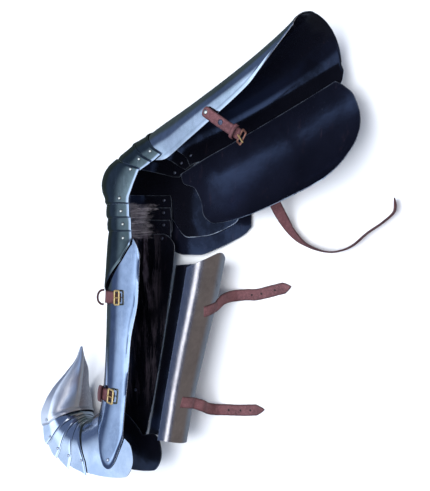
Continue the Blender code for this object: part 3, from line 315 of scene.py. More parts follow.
MAT_OF_PLATE = {
    "greave_front": ("shin", "black_knee"), "calf_plate": ("calf", "black"),
    "cuisse_plate": ("thigh", "black"), "cuisse_side_plate": ("thigh", "black_blue_sheen"),
    "knee_cop": ("knee", "black_cop"), "knee_wing": ("knee", "black_blue_sheen"),
    "knee_lame_lower_1": ("knee", "black_knee"), "knee_lame_lower_2": ("knee", "black_knee"),
    "knee_lame_lower_3": ("knee", "black_knee"), "knee_lame_upper_1": ("knee", "black_knee"),
    "knee_lame_upper_2": ("knee", "black_knee"),
    "ankle_plate": ("foot", "black"), "sabaton_lame_1": ("foot", "bare"), "sabaton_lame_2": ("foot", "bare"),
    "sabaton_lame_3": ("foot", "bare"), "sabaton_lame_4": ("foot", "bare"), "toe_cap": ("toe", "bare"),
}


# --------------------------------------------------------------- mesh making
def make(name, verts, faces, mats, index=None, body=None, node=None, sharp=40.0, attrs=None):
    """A mesh in the frame's metres from leg-frame millimetres."""
    mesh = bpy.data.meshes.new(name)
    w = leg_to_world()
    placed = np.array([w @ Vector(v) for v in verts])
    placed = np.clip(placed, np.array(CAD_BOX[0]), np.array(CAD_BOX[1]))
    mesh.from_pydata(placed.tolist(), [], faces)
    for m in mats:
        mesh.materials.append(MAT[m])
    if index is not None:
        mesh.polygons.foreach_set("material_index", index)
    for key, values in (attrs or {}).items():
        a = mesh.attributes.new(key, "FLOAT", "POINT")
        a.data.foreach_set("value", np.asarray(values, np.float32))
    bm = bmesh.new()
    bm.from_mesh(mesh)
    bmesh.ops.recalc_face_normals(bm, faces=bm.faces[:])
    if bm.calc_volume(signed=True) < 0:
        bmesh.ops.reverse_faces(bm, faces=bm.faces[:])
    bm.to_mesh(mesh)
    bm.free()
    mesh.shade_smooth()
    mesh.set_sharp_from_angle(angle=math.radians(sharp))
    obj = bpy.data.objects.new(name, mesh)
    bpy.context.scene.collection.objects.link(obj)
    if node is not None:
        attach(obj, BODY_OF[node])
        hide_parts(node)
    else:
        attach(obj, body)
    return obj


def grid_normals(g):
    n = np.cross(np.gradient(g, axis=0), np.gradient(g, axis=1))
    return n / np.maximum(np.linalg.norm(n, axis=2, keepdims=True), 1e-9)


def rim_distance(g):
    """Distance of each grid point from the plate's rim, measured on the plate."""
    nu, nv = g.shape[:2]
    du = np.linalg.norm(np.diff(g, axis=0), axis=2)
    dv = np.linalg.norm(np.diff(g, axis=1), axis=2)
    a = np.concatenate([np.zeros((1, nv)), np.cumsum(du, axis=0)])
    b = np.concatenate([np.zeros((nu, 1)), np.cumsum(dv, axis=1)], axis=1)
    return a, a[-1:] - a, b, b[:, -1:] - b


# a plate's raised or sunk lines: which edge, how far from it, how wide, how high
RIMS = {
    "greave_front": (("near", 5.2, 1.3, 1.0), ("far", 5.2, 1.3, 1.0)),
    "cuisse_plate": (("near", 3.6, 1.2, 0.5), ("end", 4.0, 1.3, 0.6)),
    "cuisse_side_plate": (("all", 3.5, 1.2, 0.4),),
}
# edges that turn in gently toward the leg: from how far away, how deep
ROLL = {
    "greave_front": (("near", 22.0, 1.9), ("far", 22.0, 1.2)),
    "cuisse_plate": (("near", 26.0, 2.4),),
    "knee_cop": (("near", 18.0, 1.2),),
    "knee_lame_lower_1": (("near", 16.0, 0.9),), "knee_lame_lower_2": (("near", 16.0, 0.9),),
    "knee_lame_lower_3": (("near", 14.0, 0.6),), "knee_lame_upper_1": (("near", 16.0, 0.9),),
    "knee_lame_upper_2": (("near", 16.0, 0.9),),
}


# the outer plate's edge is set down on the plate below it
TUCK = {
    "knee_lame_lower_1": ("end",), "knee_lame_lower_2": ("end",), "knee_lame_lower_3": ("end",),
    "knee_cop": ("start", "end"), "knee_lame_upper_1": ("end",), "knee_lame_upper_2": ("end",),
    "sabaton_lame_1": ("start",), "sabaton_lame_2": ("start",), "sabaton_lame_3": ("start",),
    "sabaton_lame_4": ("start",), "toe_cap": ("start",), "greave_front": ("end",), "cuisse_plate": ("far",),
}
# knee plates that take the painted highlight band along their near edge
NEAR_EDGE_HIGHLIGHT_PLATES = ("knee_cop", "knee_lame_lower_1", "knee_lame_lower_2", "knee_lame_lower_3",
             "knee_lame_upper_1", "knee_lame_upper_2")
# plates whose rims take the dark rim copy: painted shade along their edges
SHADED_RIM_PLATES = ("knee_lame_lower_1", "knee_lame_lower_2", "knee_lame_lower_3", "knee_lame_upper_1", "knee_lame_upper_2",
            "sabaton_lame_1", "sabaton_lame_2", "sabaton_lame_3", "sabaton_lame_4", "toe_cap", "ankle_plate")


def smooth_step(x, a, b):
    t = np.clip((np.asarray(x, float) - a) / (b - a), 0, 1)
    return t * t * (3 - 2 * t)


def knee_wear(verts):
    """Where the lining is rubbed through: across behind the knee, down the shin."""
    x, y = verts[:, 0], verts[:, 1]
    side = smooth_step(-x, 138.0, 178.0)
    across = side * smooth_step(y, 2.0, 22.0) * smooth_step(-y, -78.0, -66.0)
    down = side * smooth_step(y, -125.0, -70.0) * smooth_step(-y, -30.0, -10.0)
    low = 0.35 * smooth_step(y, -300.0, -200.0) * smooth_step(-y, 90.0, 150.0)
    return across, np.maximum(down, low)


WEAR = {n: knee_wear for n in ("greave_front", "knee_cop", "knee_lame_lower_1", "knee_lame_lower_2",
                               "knee_lame_lower_3", "knee_lame_upper_1", "knee_lame_upper_2")}


def plate(name, grid, outward, kind="steel", thick=1.3):
    g = np.asarray(grid, dtype=float)
    nu, nv = g.shape[:2]
    nrm = grid_normals(g)
    if np.dot(nrm[nu // 2, nv // 2], outward) < 0:
        nrm = -nrm
    a, b, c, d = rim_distance(g)
    near = np.minimum(np.minimum(a, b), np.minimum(c, d))
    lift = np.zeros((nu, nv))
    hold = np.zeros((nu, nv))
    for side in TUCK.get(name, ()):
        dist = {"far": a, "near": b, "start": c, "end": d}[side]
        lift -= 1.85 * np.exp(-(dist / 1.9) ** 2)
        hold += 1.10 * np.exp(-(dist / 1.9) ** 2)
    for side, at, wide, high in RIMS.get(name, ()):
        dist = {"far": a, "near": b, "start": c, "end": d, "all": near}[side]
        lift += high * np.exp(-((dist - at) / wide) ** 2)
    for side, wide, deep in ROLL.get(name, ()):
        dist = {"far": a, "near": b, "start": c, "end": d}[side]
        lift -= deep * np.clip(1 - dist / wide, 0, 1) ** 2
    if name == "greave_front":
        lift -= 3.0 * np.exp(-(d / 8.0) ** 2) * smooth_step(-g[..., 1], 296.0, 330.0)
    outer = g + nrm * lift[..., None]
    # the rim rounds over by a third of the thickness
    r = thick * 0.42
    inner = g - nrm * thick + nrm * (lift + hold)[..., None]
    P = [outer.reshape(-1, 3), inner.reshape(-1, 3)]
    off = nu * nv
    verts = np.vstack(P)
    faces, index = [], []
    i, j = np.meshgrid(np.arange(nu - 1), np.arange(nv - 1), indexing="ij")
    k = (i * nv + j).ravel()
    q = np.stack([k, k + nv, k + nv + 1, k + 1], axis=1)
    faces += q.tolist()
    index += [0] * len(q)
    faces += (q[:, ::-1] + off).tolist()
    index += [1] * len(q)
    rim = [(x, 0) for x in range(nu)] + [(nu - 1, y) for y in range(1, nv)]
    rim += [(x, nv - 1) for x in range(nu - 2, -1, -1)] + [(0, y) for y in range(nv - 2, 0, -1)]
    ids = [x * nv + y for x, y in rim]
    # a bulged middle row makes the cut edge round
    co = verts[ids]
    ci = verts[[k2 + off for k2 in ids]]
    # direction out of the rim, across the plate
    nxt, prv = np.roll(co, -1, axis=0), np.roll(co, 1, axis=0)
    t = nxt - prv
    t /= np.maximum(np.linalg.norm(t, axis=1, keepdims=True), 1e-9)
    nn = np.array([nrm[x, y] for x, y in rim])
    out = np.cross(t, nn)
    inside = np.array([g[min(max(x, 2), nu - 3), min(max(y, 2), nv - 3)] for x, y in rim])
    flip = np.einsum("ij,ij->i", out, co - inside)
    out *= np.sign(np.where(flip == 0, 1.0, flip))[:, None]
    mid1 = co * 0.80 + ci * 0.20 + out * r * 0.30 - out * 0.0
    mid2 = co * 0.5 + ci * 0.5 + out * r * 0.42
    mid3 = co * 0.20 + ci * 0.80 + out * r * 0.30
    base = len(verts)
    n = len(ids)
    verts = np.vstack([verts, mid1, mid2, mid3])
    rows = [ids, list(range(base, base + n)), list(range(base + n, base + 2 * n)),
            list(range(base + 2 * n, base + 3 * n)), [k2 + off for k2 in ids]]
    for ra, rb in zip(rows[:-1], rows[1:]):
        for x in range(n):
            y = (x + 1) % n
            faces.append((ra[x], ra[y], rb[y], rb[x]))
            index.append(2)
    near_flat = near.reshape(-1)
    rimv = np.concatenate([near_flat, near_flat, np.zeros(3 * n)])
    attrs = {"rim": np.clip(rimv / 25.0, 0, 1)}
    # distance from the near edge, for the painted highlight band on the knee plates
    bd = b.reshape(-1) if name in NEAR_EDGE_HIGHLIGHT_PLATES else np.full(nu * nv, 25.0)
    attrs["side"] = np.clip(np.concatenate([bd, bd, np.ones(3 * n)]) / 25.0, 0, 1)
    # the toe cap's far half and its distance from the keel, for its painted dark reflection
    if name == "toe_cap":
        attrs["half"] = smooth_step(-np.asarray(verts)[:, 2], -1.5, 2.0)
        attrs["keel"] = np.clip(np.abs(np.asarray(verts)[:, 2]) / 40.0, 0, 1)
    if name in WEAR:
        attrs["wear"], attrs["streak"] = WEAR[name](verts)
    outside, lining = MAT_OF_PLATE[name]
    # the rim takes painted shade on the knee lames, ankle plate, sabaton lames and toe cap, and a painted highlight
    # elsewhere
    return make(name + "_shaped", verts.tolist(), faces, [outside, lining, "rim_shade" if name in SHADED_RIM_PLATES else "rim_foot_shade" if name.startswith("sabaton_lame") else "rim"], index, node=name, sharp=34.0, attrs=attrs)


def lathe(name, at, normal, profile, mat, sides=28, node=None, body=None):
    """A turned shape on an axis: profile is radius and height pairs, rim to top."""
    n = unit(normal)
    a = unit(np.cross(n, vec(0.31, 0.87, 0.41)))
    b = np.cross(n, a)
    base = np.asarray(at, float)
    verts, faces = [], []
    for r, h in profile[:-1]:
        for k in range(sides):
            w = 2 * math.pi * k / sides
            verts.append(tuple(base + (a * math.cos(w) + b * math.sin(w)) * r + n * h))
    verts.append(tuple(base + n * profile[-1][1]))
    m = len(profile) - 1
    for ring in range(m - 1):
        for k in range(sides):
            k2 = (k + 1) % sides
            faces.append((ring * sides + k, ring * sides + k2, (ring + 1) * sides + k2, (ring + 1) * sides + k))
    for k in range(sides):
        faces.append(((m - 1) * sides + k, (m - 1) * sides + (k + 1) % sides, m * sides))
    faces.append(tuple(range(sides))[::-1])
    return make(name, verts, faces, [mat], None, body=body, node=node, sharp=60.0)


def dome_profile(radius, height):
    p = [(radius * 0.96, 0.0), (radius, height * 0.12)]
    for k in range(1, 7):
        w = math.radians(15 * k)
        p.append((radius * math.cos(w) ** 0.9, height * (0.12 + 0.88 * math.sin(w))))
    return p[:-1] + [(0.0, height)]


def dome(name, at, normal, radius, height, kind="steel", sides=10, gap=0.3):
    n = unit(normal)
    return lathe(name + "_shaped", np.asarray(at, float) + n * (gap - 0.25), n,
                 dome_profile(radius, height + 0.2),
                 "rivet_pale" if name.startswith(("ankle_rivet", "sabaton_rivet")) else "rivet", 28, node=name)


def section_ring(width, thick, n_corner=4, crown=0.0):
    """A flat band's section: across, up; rounded corners."""
    r = thick * 0.40
    pts = []
    for cx, cy, a0 in ((width / 2 - r, thick / 2 - r, 0), (-width / 2 + r, thick / 2 - r, 90),
                       (-width / 2 + r, -thick / 2 + r, 180), (width / 2 - r, -thick / 2 + r, 270)):
        for k in range(n_corner):
            w = math.radians(a0 + 90.0 * k / (n_corner - 1))
            pts.append((cx + r * math.cos(w), cy + r * math.sin(w)))
        if a0 in (0, 180):
            for k in range(1, 6):
                x = cx + (-2 * cx) * k / 6
                pts.append((x, cy + (r if a0 == 0 else -r)))
    return pts


def strap_frames(points, across, n):
    q, t, at = resample(points, n)
    ac = np.array([np.asarray(a, float) for a in across]) if np.ndim(across) == 2 else None
    out = []
    for i in range(n):
        tan = unit(t[i])
        a = np.asarray(across, float) if ac is None else np.array(
            [np.interp(i / (n - 1), np.linspace(0, 1, len(ac)), ac[:, k]) for k in range(3)])
        nor = unit(np.cross(tan, a))
        a = np.cross(nor, tan)
        out.append((q[i], tan, a, nor, at[i], at[-1]))
    return out


STRAPS = {}


def band(points, across, n, width=18.5, thick=2.6, point=0.0):
    return ("band", points, across, n, width, thick, point)


def sweep(name, rings, kind, closed=False):
    _, points, across, n, width, thick, point = rings
    frames = strap_frames(points, across, max(4 * n, 60) if kind == "leather" else 16)
    STRAPS[name] = (frames, width, thick, point)
    verts, rimv = [], []
    m = None
    for q, tan, a, nor, s, total in frames:
        w = width
        end = total - s
        if point > 0 and end < point:
            w = width * (0.05 + 0.95 * end / point)
        if name == "cuisse_buckle_strap" and s < 8.0:
            w = width * max(0.12, math.sqrt(max(0.0, 1 - (1 - s / 8.0) ** 2)))
        w = w * (1.0 + 0.012 * math.sin(s * 0.21 + len(name)) + 0.008 * math.sin(s * 0.57))
        tk = thick * (1.0 if point <= 0 or end > point else 0.72 + 0.28 * end / point)
        ring = section_ring(w, tk)
        m = len(ring)
        for x, y in ring:
            verts.append(q + a * x + nor * y)
            rimv.append(min(min(abs(abs(x) - w / 2), end if point > 0 else 9.0) / 6.0, 1.0))
    faces = []
    k = len(frames)
    for i in range(k - 1):
        for j in range(m):
            faces.append((i * m + j, i * m + (j + 1) % m, (i + 1) * m + (j + 1) % m, (i + 1) * m + j))
    faces.append(tuple(range(m))[::-1])
    faces.append(tuple(range((k - 1) * m, k * m)))
    mats = ["leather"] if kind == "leather" else ["brass"]
    return make(name + "_shaped", [tuple(v) for v in verts], faces, mats, None, node=name, sharp=50.0, attrs={"rim": rimv})


def tube_loop(name, path, radius, mat, node=None, body=None, flat=1.0, sides=14, up=None):
    """A closed round bar along a path of points."""
    p = np.array(path, float)
    n = len(p)
    t = np.roll(p, -1, axis=0) - np.roll(p, 1, axis=0)
    verts, faces = [], []
    for i in range(n):
        tan = unit(t[i])
        a = unit(np.cross(tan, up))
        b = np.cross(tan, a)
        for k in range(sides):
            w = 2 * math.pi * k / sides
            verts.append(tuple(p[i] + a * math.cos(w) * radius + b * math.sin(w) * radius * flat))
    for i in range(n):
        for k in range(sides):
            faces.append((i * sides + k, i * sides + (k + 1) % sides, ((i + 1) % n) * sides + (k + 1) % sides, ((i + 1) % n) * sides + k))
    return make(name, verts, faces, [mat], None, node=node, body=body, sharp=60.0)


def frame_ring(name, centre, u, v, half_u, half_v, bar=2.4, thick=2.2, kind="brass"):
    bar, thick = bar + 0.7, thick + 0.3
    u, v = unit(u), unit(v)
    n = np.cross(u, v)
    pts = []
    hu, hv = half_u - bar / 2, half_v - bar / 2
    c = 0.24
    for su, sv, a0 in ((1, 1, 0), (-1, 1, 90), (-1, -1, 180), (1, -1, 270)):
        cu, cv = hu - min(hu, hv) * c, hv - min(hu, hv) * c
        for k in range(8):
            w = math.radians(a0 + 90.0 * k / 7)
            pts.append(centre + u * (su * cu + min(hu, hv) * c * math.cos(w)) + v * (sv * cv + min(hu, hv) * c * math.sin(w)))
    full = []
    for k in range(len(pts)):
        p, q = pts[k], pts[(k + 1) % len(pts)]
        steps = max(1, int(np.linalg.norm(q - p) / 1.5))
        full += [p + (q - p) * s / steps for s in range(steps)]
    return tube_loop(name + "_shaped", full, bar / 2, "bronze" if name == "cuisse_buckle" else "brass", node=name, flat=thick / bar, up=n)


def leaf(name, centre, axis, out, side, a, b, height, length, gap=0.35, thick=1.1, steps=28):
    axis = unit(axis)
    side = unit(side - axis * (side @ axis))
    out = unit(out - axis * (out @ axis) - side * (out @ side))
    w0, w1 = -(height - gap), -(height - gap - thick)
    K = KNUCKLE
    start = math.atan2(w1, math.sqrt(K ** 2 - w1 ** 2))
    end = 2 * math.pi + math.atan2(w0, math.sqrt(K ** 2 - w0 ** 2)) if abs(w0) < K else 1.5 * math.pi
    profile = [(K * math.cos(start + (end - start) * k / steps), K * math.sin(start + (end - start) * k / steps)) for k in range(steps + 1)]
    if abs(w0) >= K:
        profile.append((0.0, w0))
    # the flat tapers to a rounded tongue with two rivets
    rings = []
    for t in spread(9, a + 0.15, b - 0.15):
        rings.append([centre + axis * t + side * x + out * y for x, y in
                      [(length * (1 - 0.18 * abs((t - (a + b) / 2) / ((b - a) / 2)) ** 3), w0),
                       (length * (1 - 0.18 * abs((t - (a + b) / 2) / ((b - a) / 2)) ** 3), w1)] + profile])
    k = len(rings[0])
    verts = [tuple(p) for r in rings for p in r]
    faces = []
    for i in range(len(rings) - 1):
        for j in range(k):
            faces.append((i * k + j, i * k + (j + 1) % k, (i + 1) * k + (j + 1) % k, (i + 1) * k + j))
    faces.append(tuple(range(k))[::-1])
    faces.append(tuple(range((len(rings) - 1) * k, len(rings) * k)))
    make(name + "_shaped", verts, faces, ["hinge"], None, node=name, sharp=40.0)
    for t in (a + (b - a) * 0.27, a + (b - a) * 0.73):
        p = centre + axis * t + side * (length * 0.62) + out * w1
        lathe("%s_pin_%d" % (name, round(t + 20)), p + out * 0.02, out, dome_profile(1.7, 1.0), "rivet_dark", 18, body=BODY_OF[name])

# ---------------------------------------------------------------- dimensions
STEEL = 1.3            # plate thickness
GAP = 1.0              # clearance between plates that slide
STEP = STEEL + GAP     # from one layer of plate to the next
LEATHER = 2.6          # strap thickness
STRAP_W = 18.5         # strap width
ROUND = 2.0            # roundness of a plate's section (2 is an ellipse)

# how the leg lies: turned about its long axis, then about its cross axis
LIE_ROLL = -11.107     # degrees about y
LIE_PITCH = -3.867     # degrees about x
LIE_SHIFT = (0.028884, 0.017851, 0.097140)   # metres, puts the origin under the middle
FLOOR = -96.65         # height of the surface it lies on, in the turned leg frame, mm

# knee pivots, in the leg's plane
PIV = {
    "greave": (-143.0, 12.0),
    "low3": (-141.5, 34.0),
    "low2": (-143.5, 54.5),
    "low1": (-144.5, 75.0),
    "cop": (-122.0, 120.0),
    "up1": (-106.5, 135.5),
    "up2": (-86.0, 147.0),
}
# foot pivots, toe last
FOOT = {
    "ankle": (-186.0, -345.0),
    "j4": (-239.0, -352.0),
    "j3": (-265.0, -346.0),
    "j2": (-287.0, -336.0),
    "j1": (-302.0, -318.0),
    "toe": (-308.0, -290.0),
}
THIGH_DEG = 26.2       # direction of the thigh's axis at the photo's bend

# ------------------------------------------------------------------- helpers


def vec(*c):
    return np.array(c, dtype=float)


def unit(v):
    v = np.asarray(v, dtype=float)
    return v / max(np.linalg.norm(v), 1e-9)


def turn(v, deg):
    a = math.radians(deg)
    return vec(v[0] * math.cos(a) - v[1] * math.sin(a), v[0] * math.sin(a) + v[1] * math.cos(a))


def smooth_table(xs, rows, x):
    """Value of a table of rows at x, by a monotone cubic through the rows."""
    xs = np.asarray(xs, dtype=float)
    ys = np.asarray(rows, dtype=float)
    x = min(max(x, xs[0]), xs[-1])
    i = int(min(max(np.searchsorted(xs, x) - 1, 0), len(xs) - 2))
    h = xs[i + 1] - xs[i]
    d = (ys[1:] - ys[:-1]) / (xs[1:] - xs[:-1]).reshape((-1,) + (1,) * (ys.ndim - 1))

    def slope(k):
        if k == 0:
            return d[0]
        if k == len(xs) - 1:
            return d[-1]
        a, b = d[k - 1], d[k]
        same = (a * b) > 0
        return np.where(same, 2 * a * b / np.where(same, a + b, 1.0), 0.0)

    t = (x - xs[i]) / h
    m0, m1 = slope(i) * h, slope(i + 1) * h
    return ((2 * t**3 - 3 * t**2 + 1) * ys[i] + (t**3 - 2 * t**2 + t) * m0
            + (-2 * t**3 + 3 * t**2) * ys[i + 1] + (t**3 - t**2) * m1)


def section_point(front, centre, back, sigma, half, n=ROUND, keel=0.0, flare=0.0, keel_w=7.0):
    """A point of a plate's cross section.

    sigma is 0 at the front, 90 where the wall stands at its full half width,
    and past 90 it runs on toward `back`, a millimetre for each degree.
    """
    s = abs(sigma)
    f = front - centre
    if s <= 90.0:
        a = math.radians(s)
        c, k = max(math.cos(a), 0.0) ** (2 / n), math.sin(a) ** (2 / n)
        p = centre + f * c
        z = half * k
    else:
        p = centre + back * (s - 90.0)
        z = half + flare * ((s - 90.0) / 60.0) ** 2 * 60.0
    p = p + unit(f) * keel * math.exp(-((z / keel_w) ** 2))
    return vec(p[0], p[1], z if sigma >= 0 else -z)


def leg_to_world():
    m = Matrix.Rotation(math.radians(LIE_PITCH), 4, "X") @ Matrix.Rotation(math.radians(LIE_ROLL), 4, "Y")
    return Matrix.Translation(Vector(LIE_SHIFT)) @ m @ Matrix.Scale(0.001, 4)


def spread(n, a=0.0, b=1.0):
    return [a + (b - a) * i / (n - 1) for i in range(n)]


# --------------------------------------------------------- banded lames (rows)
# A row is one cross section of a band:
#   front, centre, near end, far end (points in the leg's plane), half width


def band_grid(rows, arch=9, run_near=2, run_far=2, n=ROUND, keel=0.0, keel_w=7.0, dense=7, n_tip=None):
    """Outer grid of a band through its rows, far end to near end.

    `arch` cells go round each side to the full half width, and the run cells
    carry the wall on from there to the row's near and far end.
    """
    cols = np.array([[*r["front"], *r["centre"], *r["near"], *r.get("far", r["near"]), r["half"],
                      r.get("half_far", r["half"]), r.get("flare", 0.0), r.get("ridge", 0.0)] for r in rows], dtype=float)
    ts = list(range(len(rows)))
    m = (len(rows) - 1) * dense + 1
    out = []
    for j in range(m):
        c = smooth_table(ts, cols, (len(rows) - 1) * j / (m - 1)) if dense > 1 else cols[j]
        f, ce, ne, fa, hn, hf, flare, zr = c[0:2], c[2:4], c[4:6], c[6:8], c[8], c[9], c[10], c[11]
        row_n = n if n_tip is None else n + (n_tip - n) * min(1.0, j / (m - 1) / 0.42)
        line = []
        for i in range(-arch - run_far, arch + run_near + 1):
            end, half, run_cells = (ne, hn - zr, run_near) if i >= 0 else (fa, hf + zr, run_far)
            k = abs(i)
            run = np.linalg.norm(end - ce)
            sig = 90.0 * k / arch if k <= arch else 90.0 + run * (k - arch) / run_cells
            p = section_point(f, ce, unit(end - ce), math.copysign(sig, i), half, row_n, keel,
                              flare if i < 0 else 0.0, keel_w)
            line.append(vec(p[0], p[1], p[2] + zr))
        out.append(line)
    return np.array(out).transpose(1, 0, 2)


def arc_front(pivot, radius, forward_deg, lift_deg):
    """Point on the arc about a pivot; lift is toward the thigh or the toe."""
    return vec(*pivot) + radius * turn((1.0, 0.0), forward_deg - lift_deg)


# ------------------------------------------------------- knee: lames and cop
# joint: forward direction of the section through the pivot, radius of the
# outer plate's face, half width of the outer plate
KNEE = {
    #          forward  radius  half
    "low1": (180.0, 63.3, 58.3),
    "low2": (180.0, 62.8, 56.0),
    "low3": (180.0, 63.8, 53.7),
    "greave": (180.0, 61.8, 51.4),
    "cop": (165.0, 64.5, 58.3),
    "up1": (146.0, 50.4, 56.0),
    "up2": (139.0, 46.3, 53.7),
}


def knee_front(joint, lift, under=False):
    """Front point at a joint, lifted along its arc by so many millimetres."""
    fwd, radius, half = KNEE[joint]
    r = radius - (STEP if under else 0.0)
    return arc_front(PIV[joint], r, fwd, math.degrees(lift / radius))


def lower_lame(top, bottom, edge, reach=16.0):
    """Band between two joints below the cop; it lies over the next one down."""
    pt, pb = vec(*PIV[top]), vec(*PIV[bottom])
    half = KNEE[top][2] - STEP
    back = vec(reach, 0.0)
    up = vec(0.0, 1.0)
    rows = [
        dict(front=knee_front(top, 9.5, True), centre=pt + up * 8, near=pt + up * 8 + back * 0.85, half=half),
        dict(front=knee_front(top, 0.0, True), centre=pt, near=pt + back, half=half),
        dict(front=knee_front(top, -9.5, True), centre=(pt + pb) / 2, near=(pt + pb) / 2 + back, half=half),
        dict(front=knee_front(bottom, 0.0), centre=pb, near=pb + back, half=half),
        dict(front=knee_front(bottom, -edge), centre=pb - up * edge, near=pb - up * edge + back, half=half),
    ]
    return rows


LAME_LOWER_1 = lower_lame("low1", "low2", 11.0)
LAME_LOWER_2 = lower_lame("low2", "low3", 12.0)

# the third lower lame runs down to a point on the shin
p3, pg = vec(*PIV["low3"]), vec(*PIV["greave"])
h3 = KNEE["low3"][2] - STEP
LAME_LOWER_3 = [
    dict(front=knee_front("low3", 9.5, True), centre=p3 + vec(0, 8), near=p3 + vec(13, 8), half=h3),
    dict(front=knee_front("low3", 0.0, True), centre=p3, near=p3 + vec(15, 0), half=h3),
    dict(front=knee_front("low3", -9.5, True), centre=vec(-142.0, 24.0), near=vec(-126.5, 24.0), half=h3),
    dict(front=knee_front("greave", 0.0), centre=pg, near=vec(-126.0, 13.0), half=h3),
    dict(front=vec(-207.6, -22.0), centre=vec(-144.5, -2.0), near=vec(-127.0, 9.0), half=h3 + 0.8),
    dict(front=vec(-209.6, -54.0), centre=vec(-146.5, -14.0), near=vec(-128.5, 6.5), half=h3 + 1.4),
    dict(front=vec(-211.8, -80.5), centre=vec(-149.0, -24.0), near=vec(-130.5, 3.0), half=h3 + 2.0),
]
KNEE_COP = [
    dict(front=knee_front("low1", -9.0), centre=vec(-144.5, 66.0), near=vec(-127.5, 65.0), far=vec(-134.5, 50.0)),
    dict(front=knee_front("low1", 0.0), centre=vec(-144.5, 75.0), near=vec(-127.0, 75.0), far=vec(-104.0, 13.5)),
    dict(front=vec(-215.5, 87.0), centre=vec(-140.0, 84.0), near=vec(-122.5, 86.0), far=vec(-72.0, 16.0)),
    dict(front=vec(-218.5, 101.0), centre=vec(-135.0, 94.0), near=vec(-117.0, 98.0), far=vec(-38.0, 28.0)),
    dict(front=vec(-215.0, 115.0), centre=vec(-130.0, 105.0), near=vec(-111.0, 109.5), far=vec(-17.0, 45.0)),
    dict(front=vec(-204.5, 129.0), centre=vec(-125.0, 115.0), near=vec(-107.0, 117.0), far=vec(-40.0, 80.0)),
    dict(front=knee_front("cop", 7.0), centre=vec(-120.0, 126.0), near=vec(-104.0, 121.5), far=vec(-84.0, 109.0)),
]
for r in KNEE_COP:
    r["half"] = KNEE["low1"][2]
    r["flare"] = 0.11

LAME_UPPER_1 = [
    dict(front=knee_front("cop", -9.0, True), centre=vec(-125.0, 112.5), near=vec(-112.0, 112.0), half=56.0),
    dict(front=knee_front("cop", 0.0, True), centre=vec(*PIV["cop"]), near=vec(-105.0, 118.0), half=56.0),
    dict(front=knee_front("cop", 9.0, True), centre=vec(-116.0, 127.0), near=vec(-96.5, 122.5), half=56.0),
    dict(front=knee_front("up1", 0.0), centre=vec(*PIV["up1"]), near=vec(-87.0, 127.5), half=56.0),
    dict(front=knee_front("up1", 8.0), centre=vec(-101.0, 141.0), near=vec(-82.0, 131.0), half=56.0),
]
LAME_UPPER_2 = [
    dict(front=knee_front("up1", -9.0, True), centre=vec(-112.0, 130.0), near=vec(-98.0, 123.5), half=53.7),
    dict(front=knee_front("up1", 0.0, True), centre=vec(*PIV["up1"]), near=vec(-89.0, 128.5), half=53.7),
    dict(front=knee_front("up1", 8.0, True), centre=vec(-99.0, 140.5), near=vec(-79.5, 132.5), half=53.7),
    dict(front=knee_front("up2", 0.0), centre=vec(*PIV["up2"]), near=vec(-69.5, 139.0), half=53.7),
    dict(front=knee_front("up2", 7.5), centre=vec(-79.5, 151.5), near=vec(-64.0, 142.5), half=53.7),
]

def fine_band(rows):
    return band_grid(rows, 40, 8, 8, dense=7)


plate("knee_lame_lower_1", fine_band(LAME_LOWER_1), vec(-1, 0, 0))
plate("knee_lame_lower_2", fine_band(LAME_LOWER_2), vec(-1, 0, 0))
plate("knee_lame_lower_3", fine_band(LAME_LOWER_3), vec(-1, 0, 0))
plate("knee_cop", band_grid(KNEE_COP, 44, 8, 26, keel=1.0, dense=9), vec(-1, 0, 0), "steel_dark")
plate("knee_lame_upper_1", fine_band(LAME_UPPER_1), vec(-1, 0, 0), "steel_dark")
plate("knee_lame_upper_2", fine_band(LAME_UPPER_2), vec(-1, 0, 0), "steel_dark")

# ------------------------------------------------------------ knee wing plate
# along x: lower edge, upper edge, distance out at mid height, crown
WING_X = (-142.0, -130.0, -110.0, -85.0, -56.0, -27.0, -5.0, 6.0)
WING_LOW = (8.0, -9.0, -15.5, -15.5, -6.0, 7.0, 19.0, 30.0)
WING_HIGH = (46.0, 72.0, 96.0, 108.0, 106.0, 92.0, 70.0, 50.0)
WING_OUT = (62.5, 63.5, 67.0, 73.0, 80.0, 86.0, 89.0, 89.5)


def wing_point(x, w):
    lo = float(smooth_table(WING_X, [[v] for v in WING_LOW], x)[0])
    hi = float(smooth_table(WING_X, [[v] for v in WING_HIGH], x)[0])
    out = float(smooth_table(WING_X, [[v] for v in WING_OUT], x)[0])
    y = lo + (hi - lo) * w
    mid = 48.0
    dome = 3.0 * (1 - min(abs(y - mid) / 64.0, 1.0) ** 2)
    return vec(x, y, -(out + dome))


plate("knee_wing", [[wing_point(x, w) for w in spread(49)] for x in spread(61, WING_X[0], WING_X[-1])],
      vec(0, 0, -1), "steel_dark")

# ------------------------------------------------------------- greave (front)
# height: front x, centre x, half width, near edge x, far edge x
GREAVE_Y = (-362.0, -305.0, -275.0, -245.0, -200.0, -149.0, -86.0, -30.0, 0.0, 20.0)
GREAVE = (
    (-258.5, -188.0, 43.8, -165.0, -171.5),
    (-240.0, -179.0, 43.6, -152.5, -168.0),
    (-228.2, -172.0, 43.3, -149.5, -161.5),
    (-220.0, -166.0, 43.6, -145.5, -154.5),
    (-214.0, -159.0, 46.0, -138.0, -147.0),
    (-210.5, -152.5, 48.8, -131.0, -138.6),
    (-208.0, -148.0, 50.2, -115.5, -128.2),
    (-203.8, -145.0, 49.8, -112.5, -119.0),
    (-202.2, -143.3, 49.1, -111.8, -116.0),
    (-201.9, -143.0, 49.0, -111.8, -116.0),
)
# round the section: angle, where the plate ends below
GREAVE_FOOT_A = (0.0, 22.0, 42.0, 58.0, 71.0, 83.0, 94.0, 103.0, 110.0, 115.0)
GREAVE_FOOT_Y = (-271.0, -274.0, -286.0, -309.0, -340.0, -357.0, -361.0, -352.0, -328.0, -306.0)
